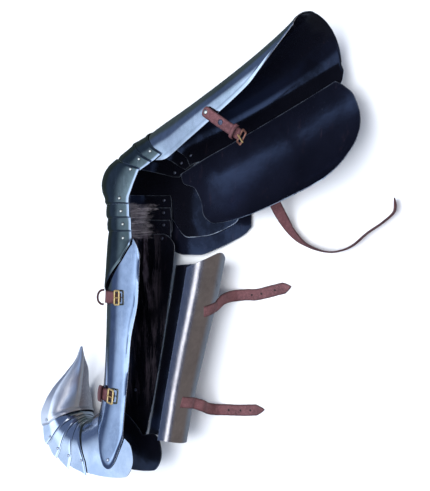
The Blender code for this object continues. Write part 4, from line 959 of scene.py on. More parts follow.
# lowest and highest point of the plate where it runs past the centre
GREAVE_TOP_A = (0.0, 92.0, 104.0, 113.0, 118.0, 122.0)
GREAVE_TOP_Y = (19.0, 19.0, 15.0, 6.0, -3.0, -14.0)


def lookup(xs, ys, x):
    return float(smooth_table(xs, [[v] for v in ys], x)[0])


def greave_point(sigma, y, inset=0.0):
    f, c, half, near, far = smooth_table(GREAVE_Y, GREAVE, y)
    end = 90 + ((near if sigma >= 0 else far) - c)
    s = max(-end, min(end, sigma))
    p = section_point(vec(f + inset, y), vec(c, y), vec(1.0, 0.0), s, half - inset, 1.88,
                      1.2 * min(max((-y - 5.0) / 60.0, 0.0), 1.0))
    return p


def greave_grid(nq, nv):
    cols = []
    for i in range(nq):
        q = -1 + 2 * i / (nq - 1)
        a = abs(q)
        sig_top = a * (122.0 if q >= 0 else 117.0)
        sig_low = a * 115.0
        top = lookup(GREAVE_TOP_A, GREAVE_TOP_Y, sig_top)
        low = lookup(GREAVE_FOOT_A, GREAVE_FOOT_Y, sig_low)
        col = []
        for j in range(nv):
            y = top + (low - top) * j / (nv - 1)
            f, c, half, near, far = smooth_table(GREAVE_Y, GREAVE, y)
            end = 90 + ((near if q >= 0 else far) - c)
            col.append(greave_point(q * end, y))
        cols.append(col)
    return cols


plate("greave_front", greave_grid(113, 97), vec(-1, 0, 0))

# ---------------------------------------------------------------- calf plate
# The hinge line runs down the outer edge of the greave.
HINGE_TOP = vec(-118.6, -30.0, -51.8)
HINGE_LOW = vec(-169.5, -312.0, -44.2)
CALF_OPEN = 46.0       # how far it stands open, in degrees
CALF_Y = (-320.0, -260.0, -200.0, -140.0, -80.0, -26.0)
# width across, depth behind the hinge line
CALF = ((86.0, 57.0), (87.0, 57.5), (92.0, 60.5), (98.0, 64.5), (102.0, 68.5), (103.5, 70.0))
CALF_A = (0.0, 30.0, 60.0, 88.0, 104.0, 128.0, 158.0, 180.0)
CALF_TOP = (-32.0, -30.0, -29.0, -26.0, -20.5, -11.5, -22.5, -34.0)
CALF_LOW = (-313.0, -316.0, -318.5, -319.5, -319.5, -318.5, -314.0, -310.0)


def hinge_at(y):
    t = (y - HINGE_TOP[1]) / (HINGE_LOW[1] - HINGE_TOP[1])
    return HINGE_TOP + (HINGE_LOW - HINGE_TOP) * t


def calf_point(angle, y, open_deg=None):
    """Point of the calf plate; angle 0 is the hinge edge, 180 the free edge."""
    width, depth = smooth_table(CALF_Y, CALF, y)
    n = 2.05
    a = math.radians(min(max(angle, 0.0), 180.0))
    c, s = math.cos(a), math.sin(a)
    side = math.copysign(abs(c) ** (2 / n), c)
    x = (depth - 2.2) * max(s, 0.0) ** (2 / n) + 4.4
    z = width / 2 * (1 - side)
    o = math.radians(CALF_OPEN if open_deg is None else open_deg)
    base = hinge_at(y)
    return vec(base[0] + x * math.cos(o) + z * math.sin(o), y, base[2] - x * math.sin(o) + z * math.cos(o))


def calf_grid(nq, nv):
    out = []
    for i in range(nq):
        a = 180.0 * i / (nq - 1)
        top, low = lookup(CALF_A, CALF_TOP, a), lookup(CALF_A, CALF_LOW, a)
        out.append([calf_point(a, top + (low - top) * j / (nv - 1)) for j in range(nv)])
    # the plate's edge runs in beside the hinge
    o = math.radians(CALF_OPEN)
    out.insert(0, [p - vec(math.cos(o), 0.0, -math.sin(o)) * 2.9 for p in out[0]])
    return out


plate("calf_plate", calf_grid(81, 71), vec(0.6, 0, -0.5))

# -------------------------------------------------------------------- cuisse
TH = vec(math.cos(math.radians(THIGH_DEG)), math.sin(math.radians(THIGH_DEG)))   # up the thigh
TF = vec(-TH[1], TH[0])                                                          # out of its front


def thigh(s, h):
    return vec(*PIV["up2"]) + TH * s + TF * h


# along the thigh: front s, h | centre s, h | inner edge angle | outer edge angle | half inner, half outer
CUISSE = (
    (None, (-9.0, -1.0), 103.0, 104.0, 51.4, 51.4),
    (None, (0.0, 0.0), 106.0, 106.0, 51.4, 51.4),
    ((22.0, 43.0), (22.0, 0.0), 113.5, 111.0, 51.6, 52.0),
    ((75.0, 41.0), (75.0, 0.0), 111.0, 113.0, 59.0, 62.0),
    ((150.0, 41.0), (150.0, 0.0), 105.5, 119.0, 66.5, 72.5),
    ((222.0, 45.0), (218.0, 0.0), 96.0, 122.0, 70.0, 80.0),
    ((272.0, 50.5), (258.0, 0.0), 77.0, 122.0, 72.0, 84.0),
    ((305.0, 56.0), (280.0, 0.0), 61.0, 115.0, 73.0, 86.0),
    ((321.0, 60.5), (291.0, 0.0), 50.0, 101.0, 73.0, 87.0),
)


def cuisse_columns():
    cols = []
    for k, (f, c, an, af, hn, hf) in enumerate(CUISSE):
        if f is None:
            front = knee_front("up2", -9.0 if k == 0 else 0.0, True)
        else:
            front = thigh(*f)
        cols.append([*front, *thigh(*c), an, af, hn, hf])
    return np.array(cols, dtype=float)


def cuisse_grid(nq, nv, outset=0.0):
    cols = cuisse_columns()
    ts = list(range(len(cols)))
    out = []
    for j in range(nv):
        c = smooth_table(ts, cols, (len(cols) - 1) * j / (nv - 1))
        line = []
        for i in range(nq):
            q = -1 + 2 * i / (nq - 1)
            sig = q * (c[4] if q >= 0 else c[5])
            # the two sides differ in width; they meet smoothly at the front
            half = c[6] if q >= 0 else c[7]
            back = -TF
            line.append(section_point(c[0:2], c[2:4], back, sig, half, 1.95, 0.8))
        out.append(line)
    return np.array(out).transpose(1, 0, 2)


plate("cuisse_plate", cuisse_grid(113, 81), vec(*TF, 0), "steel_dark")

# ---------------------------------------------------------- cuisse side plate
# It wraps the outer back of the thigh from under the main plate's edge.
SIDE_H = (-20.0, -34.0, -55.0, -78.0, -100.0, -120.0, -138.0, -150.0, -157.0)
SIDE_LOW = (-30.0, -31.0, -14.0, -12.0, -16.0, -6.0, 38.0, 110.0, 190.0)
SIDE_HIGH = (274.0, 284.0, 292.0, 291.0, 285.0, 273.0, 252.0, 232.0, 212.0)
SIDE_S = (-35.0, 0.0, 22.0, 75.0, 150.0, 222.0, 300.0)
SIDE_HALF = (48.0, 48.6, 49.6, 59.0, 69.0, 76.7, 82.0)


def side_point(h, s):
    half = lookup(SIDE_S, SIDE_HALF, s)
    # rounds in toward the back of the thigh
    t = max(0.0, (-h - 62.0) / 106.0)
    z = half * max(0.0, 1 - t ** 2.2) ** (1 / 2.2)
    p = thigh(s, h)
    return vec(p[0], p[1], -z)


def side_grid(nq, nv):
    out = []
    for i in range(nq):
        u = i / (nq - 1)
        h = SIDE_H[0] + (SIDE_H[-1] - SIDE_H[0]) * u
        lo, hi = lookup(sorted(SIDE_H), SIDE_LOW[::-1], h), lookup(sorted(SIDE_H), SIDE_HIGH[::-1], h)
        out.append([side_point(h, lo + (hi - lo) * j / (nv - 1)) for j in range(nv)])
    return out


plate("cuisse_side_plate", side_grid(73, 64), vec(0, 0, -1), "steel_dark")

# ------------------------------------------------------------------- sabaton
# Each band is the outer plate at the pivot nearer the ankle and the inner
# plate at the pivot nearer the toe. The bands fan out at the sole and close
# up over the instep.
#   joint: point on the sole's edge below the pivot, half widths of the outer plate
ARCH = {
    "j4": ((-238.5, -371.0), 43.0, 43.6),
    "j3": ((-273.5, -363.5), 45.3, 46.1),
    "j2": ((-297.5, -348.0), 47.6, 49.1),
    "j1": ((-315.5, -325.5), 49.9, 52.1),
    "toe": ((-322.5, -289.0), 52.2, 55.1),
}


def foot_lame(rear, fore, fronts, sole_rear):
    pr, pf = vec(*FOOT[rear]), vec(*FOOT[fore])
    sr, sf = vec(*ARCH[rear][0]), vec(*ARCH[fore][0])
    hn, hf = ARCH[rear][1:3]
    ahead = unit(pf - pr) * 7.0
    centres = (pr - unit(pf - pr) * 5.0, pr, (pr + pf) / 2, pf, pf + ahead)
    ends = (sole_rear, sr, (sr + sf) / 2 + (pf - sf) * 0.04, sf + (pf - sf) * 0.25, pf + ahead + (sf - pf) * 0.42)
    return [dict(front=vec(*f), centre=c, near=e, half=hn, half_far=hf) for f, c, e in zip(fronts, centres, ends)]


# front points from the band's rear edge to the edge hidden under the next one
FRONT_1 = ((-262.0, -291.0), (-265.5, -290.9), (-269.0, -290.9), (-273.0, -291.0), (-278.0, -291.8))
FRONT_2 = ((-265.0, -288.7), (-269.0, -288.4), (-273.0, -288.0), (-278.0, -287.4), (-284.0, -286.6))
FRONT_3 = ((-268.5, -286.0), (-273.0, -284.8), (-277.5, -283.4), (-282.5, -281.7), (-288.0, -279.8))
FRONT_4 = ((-273.5, -282.2), (-277.5, -280.2), (-281.5, -277.8), (-285.5, -274.8), (-289.5, -271.0))
SABATON_1 = foot_lame("j4", "j3", FRONT_1, vec(-229.0, -376.0))
SABATON_2 = foot_lame("j3", "j2", FRONT_2, vec(-266.0, -369.5))
SABATON_3 = foot_lame("j2", "j1", FRONT_3, vec(-291.0, -352.5))
SABATON_4 = foot_lame("j1", "toe", FRONT_4, vec(-309.5, -332.0))

ANKLE_PLATE = [
    dict(front=vec(-211.0, -265.4), centre=vec(-174.0, -314.0), near=vec(-151.0, -309.0)),
    dict(front=vec(-221.6, -270.2), centre=vec(-180.0, -322.0), near=vec(-139.0, -320.0)),
    dict(front=vec(-232.4, -276.0), centre=vec(-187.0, -333.0), near=vec(-134.5, -343.0)),
    dict(front=vec(-242.2, -282.0), centre=vec(-199.0, -341.0), near=vec(-150.0, -370.0)),
    dict(front=vec(-251.5, -288.0), centre=vec(-212.0, -348.0), near=vec(-190.0, -374.0)),
    dict(front=vec(-259.5, -292.6), centre=vec(-236.0, -351.0), near=vec(-232.0, -371.0)),
    dict(front=vec(-266.0, -295.5), centre=vec(-245.0, -350.0), near=vec(-247.0, -361.0)),
]
for k, r in enumerate(ANKLE_PLATE):
    r["half"] = 37.3 + 3.4 * max(0, k - 3) / 3
    r["half_far"] = 37.3 + 4.0 * max(0, k - 3) / 3

# toe cap: from its rear edge to the curled tip
TOE_CAP = [
    dict(front=vec(-277.8, -275.3), centre=vec(-306.5, -297.0), near=vec(-319.5, -301.0), half=52.6, half_far=55.5, ridge=6.0),
    dict(front=vec(-284.0, -270.0), centre=vec(-306.0, -284.0), near=vec(-322.0, -283.0), half=52.6, half_far=55.5, ridge=8.0),
    dict(front=vec(-279.0, -252.0), centre=vec(-303.0, -262.0), near=vec(-315.5, -261.0), half=49.0, half_far=51.0, ridge=10.0),
    dict(front=vec(-275.0, -229.0), centre=vec(-297.0, -238.0), near=vec(-306.0, -238.5), half=40.5, half_far=39.0, ridge=9.5),
    dict(front=vec(-272.0, -206.0), centre=vec(-284.5, -210.0), near=vec(-288.0, -210.5), half=26.0, half_far=24.0, ridge=8.0),
    dict(front=vec(-271.0, -188.0), centre=vec(-276.0, -189.0), near=vec(-277.5, -189.5), half=14.5, half_far=6.0, ridge=6.0),
    dict(front=vec(-271.5, -169.0), centre=vec(-273.5, -169.2), near=vec(-274.0, -169.4), half=8.0, half_far=-3.5, ridge=5.5),
]
plate("ankle_plate", band_grid(ANKLE_PLATE, 36, 9, 9, 2.0, 0.8, dense=7), vec(-1, 0.5, 0))
plate("sabaton_lame_1", band_grid(SABATON_1, 36, 9, 9, 2.3, 0.8, dense=7), vec(-0.5, 1, 0))
plate("sabaton_lame_2", band_grid(SABATON_2, 36, 9, 9, 2.3, 0.8, dense=7), vec(0, 1, 0))
plate("sabaton_lame_3", band_grid(SABATON_3, 36, 9, 9, 2.3, 0.8, dense=7), vec(0.3, 1, 0))
plate("sabaton_lame_4", band_grid(SABATON_4, 36, 9, 9, 2.3, 0.8, dense=7), vec(0.6, 0.8, 0))
plate("toe_cap", band_grid(TOE_CAP, 36, 9, 9, 2.3, 0.8, dense=7, n_tip=1.45), vec(1, 0.3, 0))

# ------------------------------------------------------------ fastening pieces
LAY = Matrix.Rotation(math.radians(LIE_PITCH), 3, "X") @ Matrix.Rotation(math.radians(LIE_ROLL), 3, "Y")
UP = np.array([LAY[2][0], LAY[2][1], LAY[2][2]])     # the surface's normal, in the leg's frame
SIGHT = vec(math.sin(math.radians(36.0)), 0.0, math.cos(math.radians(36.0)))


def on_floor(x, y, lift):
    """Point over (x, y) at a height above the surface the leg lies on."""
    return vec(x, y, (FLOOR + lift - UP[0] * x - UP[1] * y) / UP[2])


def down_to_floor(p, along, lift):
    """The point where a line through p meets the surface, raised by lift."""
    p, along = np.asarray(p, float), np.asarray(along, float)
    t = (FLOOR + lift - UP @ p) / (UP @ along)
    return p + along * t


def resample(points, n):
    """n points along a smooth curve through the given ones, with its tangents."""
    p = np.array(points, float)
    d = np.concatenate([[0.0], np.cumsum(np.linalg.norm(np.diff(p, axis=0), axis=1))])
    at = np.linspace(0, d[-1], n)
    q = []
    for t in at:
        i = int(min(max(np.searchsorted(d, t) - 1, 0), len(p) - 2))
        u = (t - d[i]) / max(d[i + 1] - d[i], 1e-9)
        p0, p1, p2, p3 = p[max(i - 1, 0)], p[i], p[i + 1], p[min(i + 2, len(p) - 1)]
        q.append(0.5 * (2 * p1 + (p2 - p0) * u + (2 * p0 - 5 * p1 + 4 * p2 - p3) * u * u
                        + (3 * p1 - p0 - 3 * p2 + p3) * u ** 3))
    q = np.array(q)
    return q, np.gradient(q, axis=0), at


# ---------------------------------------------------------------- calf hinges
KNUCKLE = 2.4
HINGE_OUT = vec(-1.44, 0.0, -3.4)      # from the plates' meeting line to the pin
HINGE_DIR = unit(HINGE_TOP - HINGE_LOW)
CALF_HINGES = {"upper": -88.0, "lower": -196.0}


calf_open = math.radians(CALF_OPEN)
for tag, y in CALF_HINGES.items():
    pin = hinge_at(y) + HINGE_OUT
    leaf("greave_hinge_leaf_" + tag, pin, HINGE_DIR, vec(0, 0, -1), vec(-1, 0, 0), 0.3, 12.0, 3.4, 15.0)
    leaf("calf_hinge_leaf_" + tag, pin, HINGE_DIR, vec(-math.sin(calf_open), 0, -math.cos(calf_open)),
         vec(math.cos(calf_open), 0, -math.sin(calf_open)), -12.0, -0.3, 3.4, 15.5)

# -------------------------------------------------------------- cuisse hinges
CUISSE_HINGES = {"lower": (88.0, -23.5), "upper": (188.0, -30.5)}


def cuisse_pin(s, h):
    p = thigh(s, h - 3.3)
    return vec(p[0], p[1], -(lookup(SIDE_S, SIDE_HALF, s) + 3.3))


PIN_A, PIN_B = cuisse_pin(*CUISSE_HINGES["lower"]), cuisse_pin(*CUISSE_HINGES["upper"])
PIN_DIR = unit(PIN_B - PIN_A)
for tag, (s, h) in CUISSE_HINGES.items():
    pin = PIN_A + PIN_DIR * (0.0 if tag == "lower" else np.linalg.norm(PIN_B - PIN_A))
    slope_out = vec(0, 0, -1) - PIN_DIR * (vec(0, 0, -1) @ PIN_DIR)
    leaf("side_plate_hinge_leaf_" + tag, pin, PIN_DIR, slope_out, vec(*-TF, 0), -12.0, -0.3, 3.3, 15.0)
    leaf("cuisse_hinge_leaf_" + tag, pin, PIN_DIR, slope_out, vec(*TF, 0), 0.3, 12.0, -0.25, 18.0)

# --------------------------------------------------------------------- rivets
KNEE_RIVETS = {"greave": "low3_greave", "low3": "low2_low3", "low2": "low1_low2", "low1": "cop_low1",
               "cop": "cop_up1", "up1": "up1_up2", "up2": "up2_cuisse"}
for joint, tag in KNEE_RIVETS.items():
    half = KNEE[joint][2]
    if joint in ("greave", "low3", "low2", "up1", "up2"):
        half = {"greave": 51.4, "low3": 53.7, "low2": 56.0, "up1": 56.0, "up2": 53.7}[joint]
    for side, sign in (("inner", 1), ("outer", -1)):
        extra = 0.3 if joint == "low1" else 0.0
        dome("knee_rivet_%s_%s" % (tag, side), vec(*PIV[joint], sign * (half + extra)), vec(0, 0, sign), 3.0, 1.7)
dome("ankle_rivet_inner", greave_point(94.0, -345.0), vec(0, 0, 1), 3.0, 1.7)
dome("ankle_rivet_outer", greave_point(-94.0, -345.0), vec(0, 0, -1), 3.0, 1.7)
SABATON_RIVETS = {"j4": "lame_1", "j3": "lame_2", "j2": "lame_3", "j1": "lame_4", "toe": "toe"}
for joint, tag in SABATON_RIVETS.items():
    half = ARCH[joint][1] if joint != "toe" else 52.6
    dome("sabaton_rivet_" + tag, vec(*FOOT[joint], half + 0.4), vec(0, 0, 1), 2.4, 1.4)

# --------------------------------------------------- greave straps and buckles


def over_greave(sigma, y, lift):
    """Point over the greave, with the directions round it, out of it and up it."""
    p = greave_point(sigma, y)
    t = unit(greave_point(sigma + 1.5, y) - greave_point(sigma - 1.5, y))
    up = unit(greave_point(sigma, y + 9.0) - greave_point(sigma, y - 9.0))
    n = np.cross(t, up)
    n = unit(n if n @ vec(p[0] + 150.0, 0, p[2]) > 0 else -n)
    return p + n * lift, t, n, unit(np.cross(n, t)) * math.copysign(1.0, np.cross(n, t)[1])


# height, angle where the strap starts, where it ends, buckle's half length, tilt
GREAVE_STRAPS = {"upper": (-83.0, 42.0, 75.0, 7.6, 0.0), "lower": (-240.5, -48.0, 71.0, 8.6, -8.0)}
for tag, (y, a0, a1, half_u, tilt) in GREAVE_STRAPS.items():
    path = [over_greave(a, y, 1.1 + LEATHER / 2)[0] for a in spread(13, a0, a1)]
    across = [over_greave(a, y, 0.0)[3] for a in spread(13, a0, a1)]
    sweep("greave_strap_" + tag, band(path, across, 15, STRAP_W + 1.5), "leather")
    end, t, n, up = over_greave(a1, y, 2.6)
    tilt_t = unit(t + up * math.tan(math.radians(tilt)))
    centre = end + tilt_t * (half_u + 1.6) + n * 0.8
    frame_ring("greave_buckle_" + tag, centre, tilt_t, up - tilt_t * (tilt_t @ up), half_u, 12.6)
# the keeper loops stand proud of the strap where it goes over the shin
KEEPERS = {"upper": (-84.0, 36.0, 10.5, 6.5), "lower": (-240.5, 50.0, 2.6, 15.0)}
for tag, (y, a, rise, wide) in KEEPERS.items():
    p, t, n, up = over_greave(a, y, 0.8 + LEATHER + 0.4)
    arch = [p + up * 11.8 * math.cos(w) + n * (rise * math.sin(w) ** 0.8 + 1.2)
            for w in [math.pi * k / 10 for k in range(11)]]
    sweep("greave_keeper_" + tag, band(arch, t, 11, wide, 3.4), "leather")

# ------------------------------------------------------------- calf straps


def calf_out(angle, y, lift):
    """Point over the calf plate's outside, with the way out and the way up it."""
    p = calf_point(angle, y)
    t = unit(calf_point(angle - 2.0, y) - calf_point(angle + 2.0, y))
    up = unit(calf_point(angle, y + 8.0) - calf_point(angle, y - 8.0))
    n = unit(np.cross(t, up))
    mid = calf_point(0.0, y) * 0.5 + calf_point(180.0, y) * 0.5
    n = n if n @ (p - mid) > 0 else -n
    return p + n * lift, n, up


# on the plate: angles round it and heights; then the points the strap hangs
# through, and the points on the surface the leg lies on
CALF_STRAPS = {
    "upper": ((143.0, -104.0), (112.0, -96.5),
              ((-29.5, -87.0, -62.0), (-29.5, -82.8, -82.0), (-24.0, -81.2, -95.0)),
              ((-9.0, -79.8), (9.4, -79.1), (42.2, -71.0), (66.5, -65.2))),
    "lower": ((150.0, -249.0), (112.0, -254.0),
              ((-67.5, -259.5, -58.0), (-70.0, -266.0, -77.0), (-67.0, -269.5, -93.0)),
              ((-53.0, -270.3), (-29.8, -269.7), (-9.0, -268.3), (13.1, -266.3))),
}
for tag, (start, end, hang, run) in CALF_STRAPS.items():
    path = [calf_out(a, y, 1.3 + LEATHER / 2)[0] for a, y in zip(spread(5, start[0], end[0]), spread(5, start[1], end[1]))]
    up = calf_out(130.0, start[1], 0.0)[2]
    path += [vec(*q) for q in hang] + [on_floor(q[0], q[1], LEATHER / 2 + 0.3) for q in run]
    flat = unit(path[-1] - path[-3])
    side = np.cross(UP, flat)
    side = unit(side) * math.copysign(1, side[1])
    sweep("calf_strap_" + tag, band(path, [up, up, unit(up + side), side, side, side], 27, STRAP_W, LEATHER, 15.0), "leather")

# ------------------------------------------------------------ cuisse straps
BUCKLE_STRAP = ((27.5, 202.3, 67.4), (49.5, 188.5, 68.6), (71.0, 175.5, 69.2), (94.0, 162.0, 68.8))
run = unit(vec(*BUCKLE_STRAP[-1]) - vec(*BUCKLE_STRAP[0]))
wide = unit(np.cross(vec(0, 0, 1), run))
sweep("cuisse_buckle_strap", band([vec(*q) for q in BUCKLE_STRAP], wide, 13, STRAP_W - 1.5), "leather")
dome("cuisse_strap_rivet", vec(33.0, 198.8, 69.1), vec(0, 0, 1), 4.0, 2.0)
end = vec(*BUCKLE_STRAP[-1])
tip = unit(run + vec(0, 0, 0.5))
frame_ring("cuisse_buckle", end + tip * 9.6 + vec(0, 0, 0.6), tip, wide - tip * (tip @ wide), 8.0, 11.5)
arch = [end - run * 9.0 + wide * 10.6 * math.cos(w) + vec(0, 0, 1) * (6.0 * math.sin(w) ** 0.8 + 2.3)
        for w in [math.pi * k / 10 for k in range(11)]]
sweep("cuisse_keeper", band(arch, run, 11, 7.0, 2.0), "leather")
pin = unit(run * 0.9 - wide * 0.18 + vec(0, 0, 0.33))
bar = end + tip * 2.0 + vec(0, 0, 5.4)
sweep("cuisse_tongue", band([bar, bar + pin * 9.0, bar + pin * 19.0], wide, 5, 2.2, 1.8), "brass")


def side_out(s, h, lift):
    p = side_point(h, s)
    n = unit(np.cross(side_point(h - 1.5, s) - side_point(h + 1.5, s), side_point(h, s + 6.0) - side_point(h, s - 6.0)))
    n = n if n[2] < 0 else -n
    return p + n * lift


LONG_STRAP = ((73.5, 67.5, -56.0), (70.5, 58.5, -68.5), (68.5, 47.0, -83.0), (69.5, 35.0, -94.5))
LONG_RUN = ((74.5, 22.5), (90.7, 6.6), (111.0, -4.5), (134.7, -10.2), (156.0, -7.5), (174.9, 0.8), (198.1, 19.2),
            (223.5, 36.0), (241.0, 52.5), (241.8, 73.0))
path = [side_out(112.0, -118.0, 3.2), side_out(110.0, -131.0, 3.6)]
path += [vec(*q) for q in LONG_STRAP]
path += [on_floor(q[0], q[1], 0.5 + STRAP_W / 2 * float(SIGHT @ UP) + 0.6) for q in LONG_RUN]
along = vec(*TH, 0)
sweep("cuisse_long_strap", band(path, [along, along, along, unit(along * 0.7 + SIGHT * 0.5), unit(along * 0.2 + SIGHT), SIGHT, SIGHT, SIGHT, SIGHT, SIGHT, SIGHT],
                                41, STRAP_W, LEATHER, 12.0), "leather")


# ------------------------------------------------------------ interior rivets
def inner_rivet(name, at, normal, radius, height, body, mat="rivet_dark"):
    lathe(name, np.asarray(at, float) - unit(normal) * 0.2, normal, dome_profile(radius, height + 0.2), mat, 24, body=body)


# peened ends of the knee rivets, on the inside of the innermost plate
INSIDE = {"greave": ("greave", 1), "low3": ("lame_lower_3", 1), "low2": ("lame_lower_2", 1), "low1": ("lame_lower_1", 1),
          "cop": ("lame_upper_1", 1), "up1": ("lame_upper_2", 1), "up2": ("cuisse", 1)}
for joint, (b, _) in INSIDE.items():
    half = KNEE[joint][2] if joint not in ("greave", "low3", "low2", "up1", "up2") else {
        "greave": 51.4, "low3": 53.7, "low2": 56.0, "up1": 56.0, "up2": 53.7}[joint]
    inner = half - STEP - STEEL
    for side, sign in (("inner", 1), ("outer", -1)):
        inner_rivet("knee_rivet_end_%s_%s" % (joint, side), vec(*PIV[joint], sign * inner), vec(0, 0, -sign), 3.2, 1.5, b)
# rivets of the leather fastenings and of the hinges
for k, (y, a) in enumerate(((-83.0, -42.0), (-70.0, -42.0), (-240.0, -60.0))):
    p, t, n, up = over_greave(a, y, -STEEL)
    inner_rivet("greave_inside_rivet_%d" % k, p, -n, 2.8, 1.4, "greave")
for k, (angle, y) in enumerate(((160.0, -47.0), (155.0, -50.0), (150.0, -98.0))):
    p, n, up = calf_out(angle, y, -STEEL)
    inner_rivet("calf_inside_rivet_%d" % k, p, -n, 2.6, 1.3, "calf")
p, n, up = calf_out(40.0, -38.0, 0.0)
inner_rivet("calf_top_rivet", p - n * STEEL, -n, 2.8, 1.5, "calf", "rivet")

def strap_hole_shade(name, s_at, off, radius=1.7, tag=0, side=1):
    """A punched hole's dark rim and bottom: a near-black disc sunk to the strap's face, as painted shade in place of a
    hole.
    """
    frames, width, thick, point = STRAPS[name]
    s = np.array([f[4] for f in frames])
    k = int(np.argmin(abs(s - s_at)))
    q, tan, a, nor = frames[k][0], frames[k][1], frames[k][2], frames[k][3]
    lathe("%s_hole_%d" % (name, tag), q + a * off + nor * side * (thick / 2 + 0.02), nor * side,
          [(radius, -0.02), (radius * 1.05, 0.06), (radius * 0.72, 0.05), (0.0, 0.03)], "hole", 20, body=BODY_OF[name])


for k, d in enumerate((18.0, 45.0, 62.0)):
    total = STRAPS["calf_strap_upper"][0][-1][4]
    strap_hole_shade("calf_strap_upper", total - 12.0 - d * 0.9, 0.0, 1.7, k, 1)
    strap_hole_shade("calf_strap_upper", total - 12.0 - d * 0.9, 0.0, 1.7, k + 10, -1)
for k, d in enumerate((14.0, 34.0, 56.0)):
    total = STRAPS["calf_strap_lower"][0][-1][4]
    strap_hole_shade("calf_strap_lower", total - 12.0 - d * 0.9, 0.0, 1.7, k, 1)
    strap_hole_shade("calf_strap_lower", total - 12.0 - d * 0.9, 0.0, 1.7, k + 10, -1)

lathe("cuisse_strap_flat_rivet", vec(61.0, 181.8, 70.4), vec(0, 0, 1), [(4.3, 0.0), (4.3, 0.55), (3.9, 0.85), (1.5, 1.0), (0.0, 1.0)],
      "dark_rivet", 28, body="cuisse")
# buckle tongues and the folded leather behind each frame
for tag, (y, a0, a1, half_u, tilt) in GREAVE_STRAPS.items():
    end, t, n, up = over_greave(a1, y, 2.6)
    tilt_t = unit(t + up * math.tan(math.radians(tilt)))
    centre = end + tilt_t * (half_u + 1.6) + n * 0.8
    bar = centre - tilt_t * (half_u - 1.4)
    tip = centre + tilt_t * (half_u - 0.6) + n * 1.3
    ring = []
    pts = [bar + n * 1.4, bar * 0.5 + tip * 0.5 + n * 1.2, tip]
    v, f = [], []
    for k, p in enumerate(resample(pts, 12)[0]):
        w = 1.15 - 0.04 * k
        for m in range(10):
            ang = 2 * math.pi * m / 10
            v.append(tuple(p + up * math.cos(ang) * w + n * math.sin(ang) * 0.8))
    for k in range(11):
        for m in range(10):
            f.append((k * 10 + m, k * 10 + (m + 1) % 10, (k + 1) * 10 + (m + 1) % 10, (k + 1) * 10 + m))
    f.append(tuple(range(10))[::-1])
    f.append(tuple(range(110, 120)))
    make("greave_tongue_" + tag, v, f, ["brass"], None, body="greave", sharp=60.0)
    # the strap's free end lies under the frame, in a darker copy of the leather: painted shade under the frame
    under = [over_greave(a, y, 0.9)[0] + up * ((a - a1) * math.tan(math.radians(tilt)))
             for a in spread(9, a1 - 2.0, a1 + half_u * 1.75)]
    rings, v, f, rimv = section_ring(15.0, 1.5), [], [], []
    fr = strap_frames(under, up, 24)
    for q, tan, ac, nor, s, total in fr:
        for x, z in rings:
            v.append(tuple(q + ac * x + nor * z))
            rimv.append(min(1.0, abs(abs(x) - 7.5) / 6.0))
    m = len(rings)
    for k in range(23):
        for c in range(m):
            f.append((k * m + c, k * m + (c + 1) % m, (k + 1) * m + (c + 1) % m, (k + 1) * m + c))
    f.append(tuple(range(m))[::-1])
    f.append(tuple(range(23 * m, 24 * m)))
    make("greave_strap_end_" + tag, v, f, ["leather_shaded"], None, body="greave", sharp=50.0, attrs={"rim": rimv})

# ------------------------------------------------------------ light and camera
L2W = leg_to_world()
ROT = L2W.to_3x3().normalized()


def to_world(p):
    return L2W @ Vector([float(c) for c in p])


def camera():
    cam = bpy.data.cameras.new("camera")
    cam.sensor_fit = "HORIZONTAL"
    cam.sensor_width = 36.0
    cam.lens = 1225.8 / 430.0 * 36.0
    cam.clip_start, cam.clip_end = 0.05, 20.0
    cam.dof.use_dof = False
    obj = bpy.data.objects.new("camera", cam)
    bpy.context.scene.collection.objects.link(obj)
    c = Vector((math.sin(math.radians(36.0)), 0.0, math.cos(math.radians(36.0))))
    right = Vector((math.cos(math.radians(36.0)), 0.0, -math.sin(math.radians(36.0))))
    rows = [ROT @ right, ROT @ Vector((0, 1, 0)), ROT @ c]
    m = Matrix((rows[0], rows[1], rows[2])).transposed().to_4x4()
    m.translation = to_world(c * 1900.0)
    obj.matrix_world = m
    bpy.context.scene.camera = obj


camera()


def area(name, at, aim, size, size_y, energy, colour=(1, 1, 1)):
    light = bpy.data.lights.new(name, "AREA")
    light.shape = "RECTANGLE"
    light.size, light.size_y = size, size_y
    light.energy = energy
    light.color = colour
    obj = bpy.data.objects.new(name, light)
    bpy.context.scene.collection.objects.link(obj)
    d = Vector(aim) - Vector(at)
    obj.location = at
    obj.rotation_euler = d.to_track_quat("-Z", "Y").to_euler()
    return obj


# floor
floor_mesh = bpy.data.meshes.new("floor")
floor_mesh.from_pydata([(-6, -6, 0), (6, -6, 0), (6, 6, 0), (-6, 6, 0)], [], [(0, 1, 2, 3)])
fm = Nodes("floor_paper")
fm.set(Base_Color=fm.mix(fm.noise(3.0, 2.0), (0.93, 0.93, 0.935), (0.95, 0.95, 0.95)), Roughness=0.85)
floor_mesh.materials.append(fm.mat)
floor = bpy.data.objects.new("floor", floor_mesh)
bpy.context.scene.collection.objects.link(floor)

# The surroundings that the steel mirrors: a broad soft light above on the shin's
# side, a dim room, a pale line at the calf's side and a warm floor below it.
world = bpy.data.worlds.new("studio")
bpy.context.scene.world = world
world.use_nodes = True
wt = world.node_tree
direction = wt.nodes.new("ShaderNodeTexCoord").outputs["Generated"]


def w_dot(leg_dir):
    n = wt.nodes.new("ShaderNodeVectorMath")
    n.operation = "DOT_PRODUCT"
    wt.links.new(direction, n.inputs[0])
    n.inputs[1].default_value = ROT @ Vector(leg_dir).normalized()
    return n.outputs["Value"]


def w_step(value, a, b, lo=0.0, hi=1.0):
    n = wt.nodes.new("ShaderNodeMapRange")
    n.interpolation_type = "SMOOTHSTEP"
    wt.links.new(value, n.inputs["Value"])
    for key, v in (("From Min", a), ("From Max", b), ("To Min", lo), ("To Max", hi)):
        n.inputs[key].default_value = v
    return n.outputs["Result"]


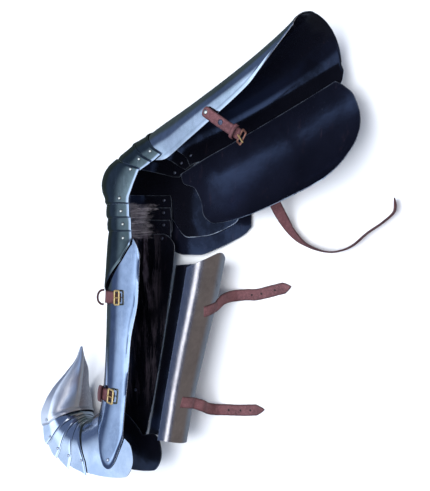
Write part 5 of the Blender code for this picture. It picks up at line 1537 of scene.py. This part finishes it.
def w_mix(fac, a, b, mode="MIX"):
    n = wt.nodes.new("ShaderNodeMix")
    n.data_type = "RGBA"
    n.blend_type = mode
    n.clamp_result = False
    if hasattr(fac, "is_output"):
        wt.links.new(fac, n.inputs[0])
    else:
        n.inputs[0].default_value = fac
    for s, v in ((n.inputs[6], a), (n.inputs[7], b)):
        if hasattr(v, "is_output"):
            wt.links.new(v, s)
        else:
            s.default_value = (*v, 1)
    return n.outputs[2]


def w_mul(a, b):
    n = wt.nodes.new("ShaderNodeMath")
    n.operation = "MULTIPLY"
    wt.links.new(a, n.inputs[0])
    wt.links.new(b, n.inputs[1])
    return n.outputs[0]


up_z = w_dot((0, 0, 1))
to_back = w_dot((1, 0, 0))
soft = w_step(w_dot((-0.02, -0.20, 0.98)), 0.74, 0.95)
right = w_step(to_back, 0.05, 0.55)
sky = w_mix(w_step(w_dot((-0.52, -0.15, 0.84)), 0.82, 0.985), (0.10, 0.135, 0.235), (0.66, 0.79, 1.02))
sky = w_mix(soft, sky, (1.35, 1.58, 1.95))
# a bright line low at the back, a few degrees high
low = w_mul(w_step(up_z, 0.10, 0.17), w_step(up_z, 0.32, 0.22))
sky = w_mix(w_mul(low, w_step(to_back, 0.70, 0.88)), sky, (2.3, 2.3, 2.4))
ground = w_mix(right, (0.075, 0.095, 0.098), (0.21, 0.18, 0.165))
ground = w_mix(w_step(w_dot((0, 0, -1)), 0.70, 1.0), ground, (0.24, 0.28, 0.34))
colour = w_mix(w_step(up_z, -0.10, 0.14), ground, sky)
wt.links.new(colour, wt.nodes["Background"].inputs["Color"])
wt.nodes["Background"].inputs["Strength"].default_value = 1.0
bpy.context.scene.view_settings.view_transform = "Standard"

# the floor isn't mirrored in the steel
floor.visible_glossy = False
for strap in ("calf_strap_upper", "calf_strap_lower"):
    bpy.data.objects[strap + "_shaped"].visible_glossy = False
for light in (area("over", (-0.25, 0.15, 2.6), (0.0, 0.0, 0.0), 2.2, 2.2, 74.0),
              area("side_fill", (1.9, -0.4, 1.5), (0.0, 0.0, 0.0), 0.9, 1.6, 16.0)):
    light.visible_glossy = False
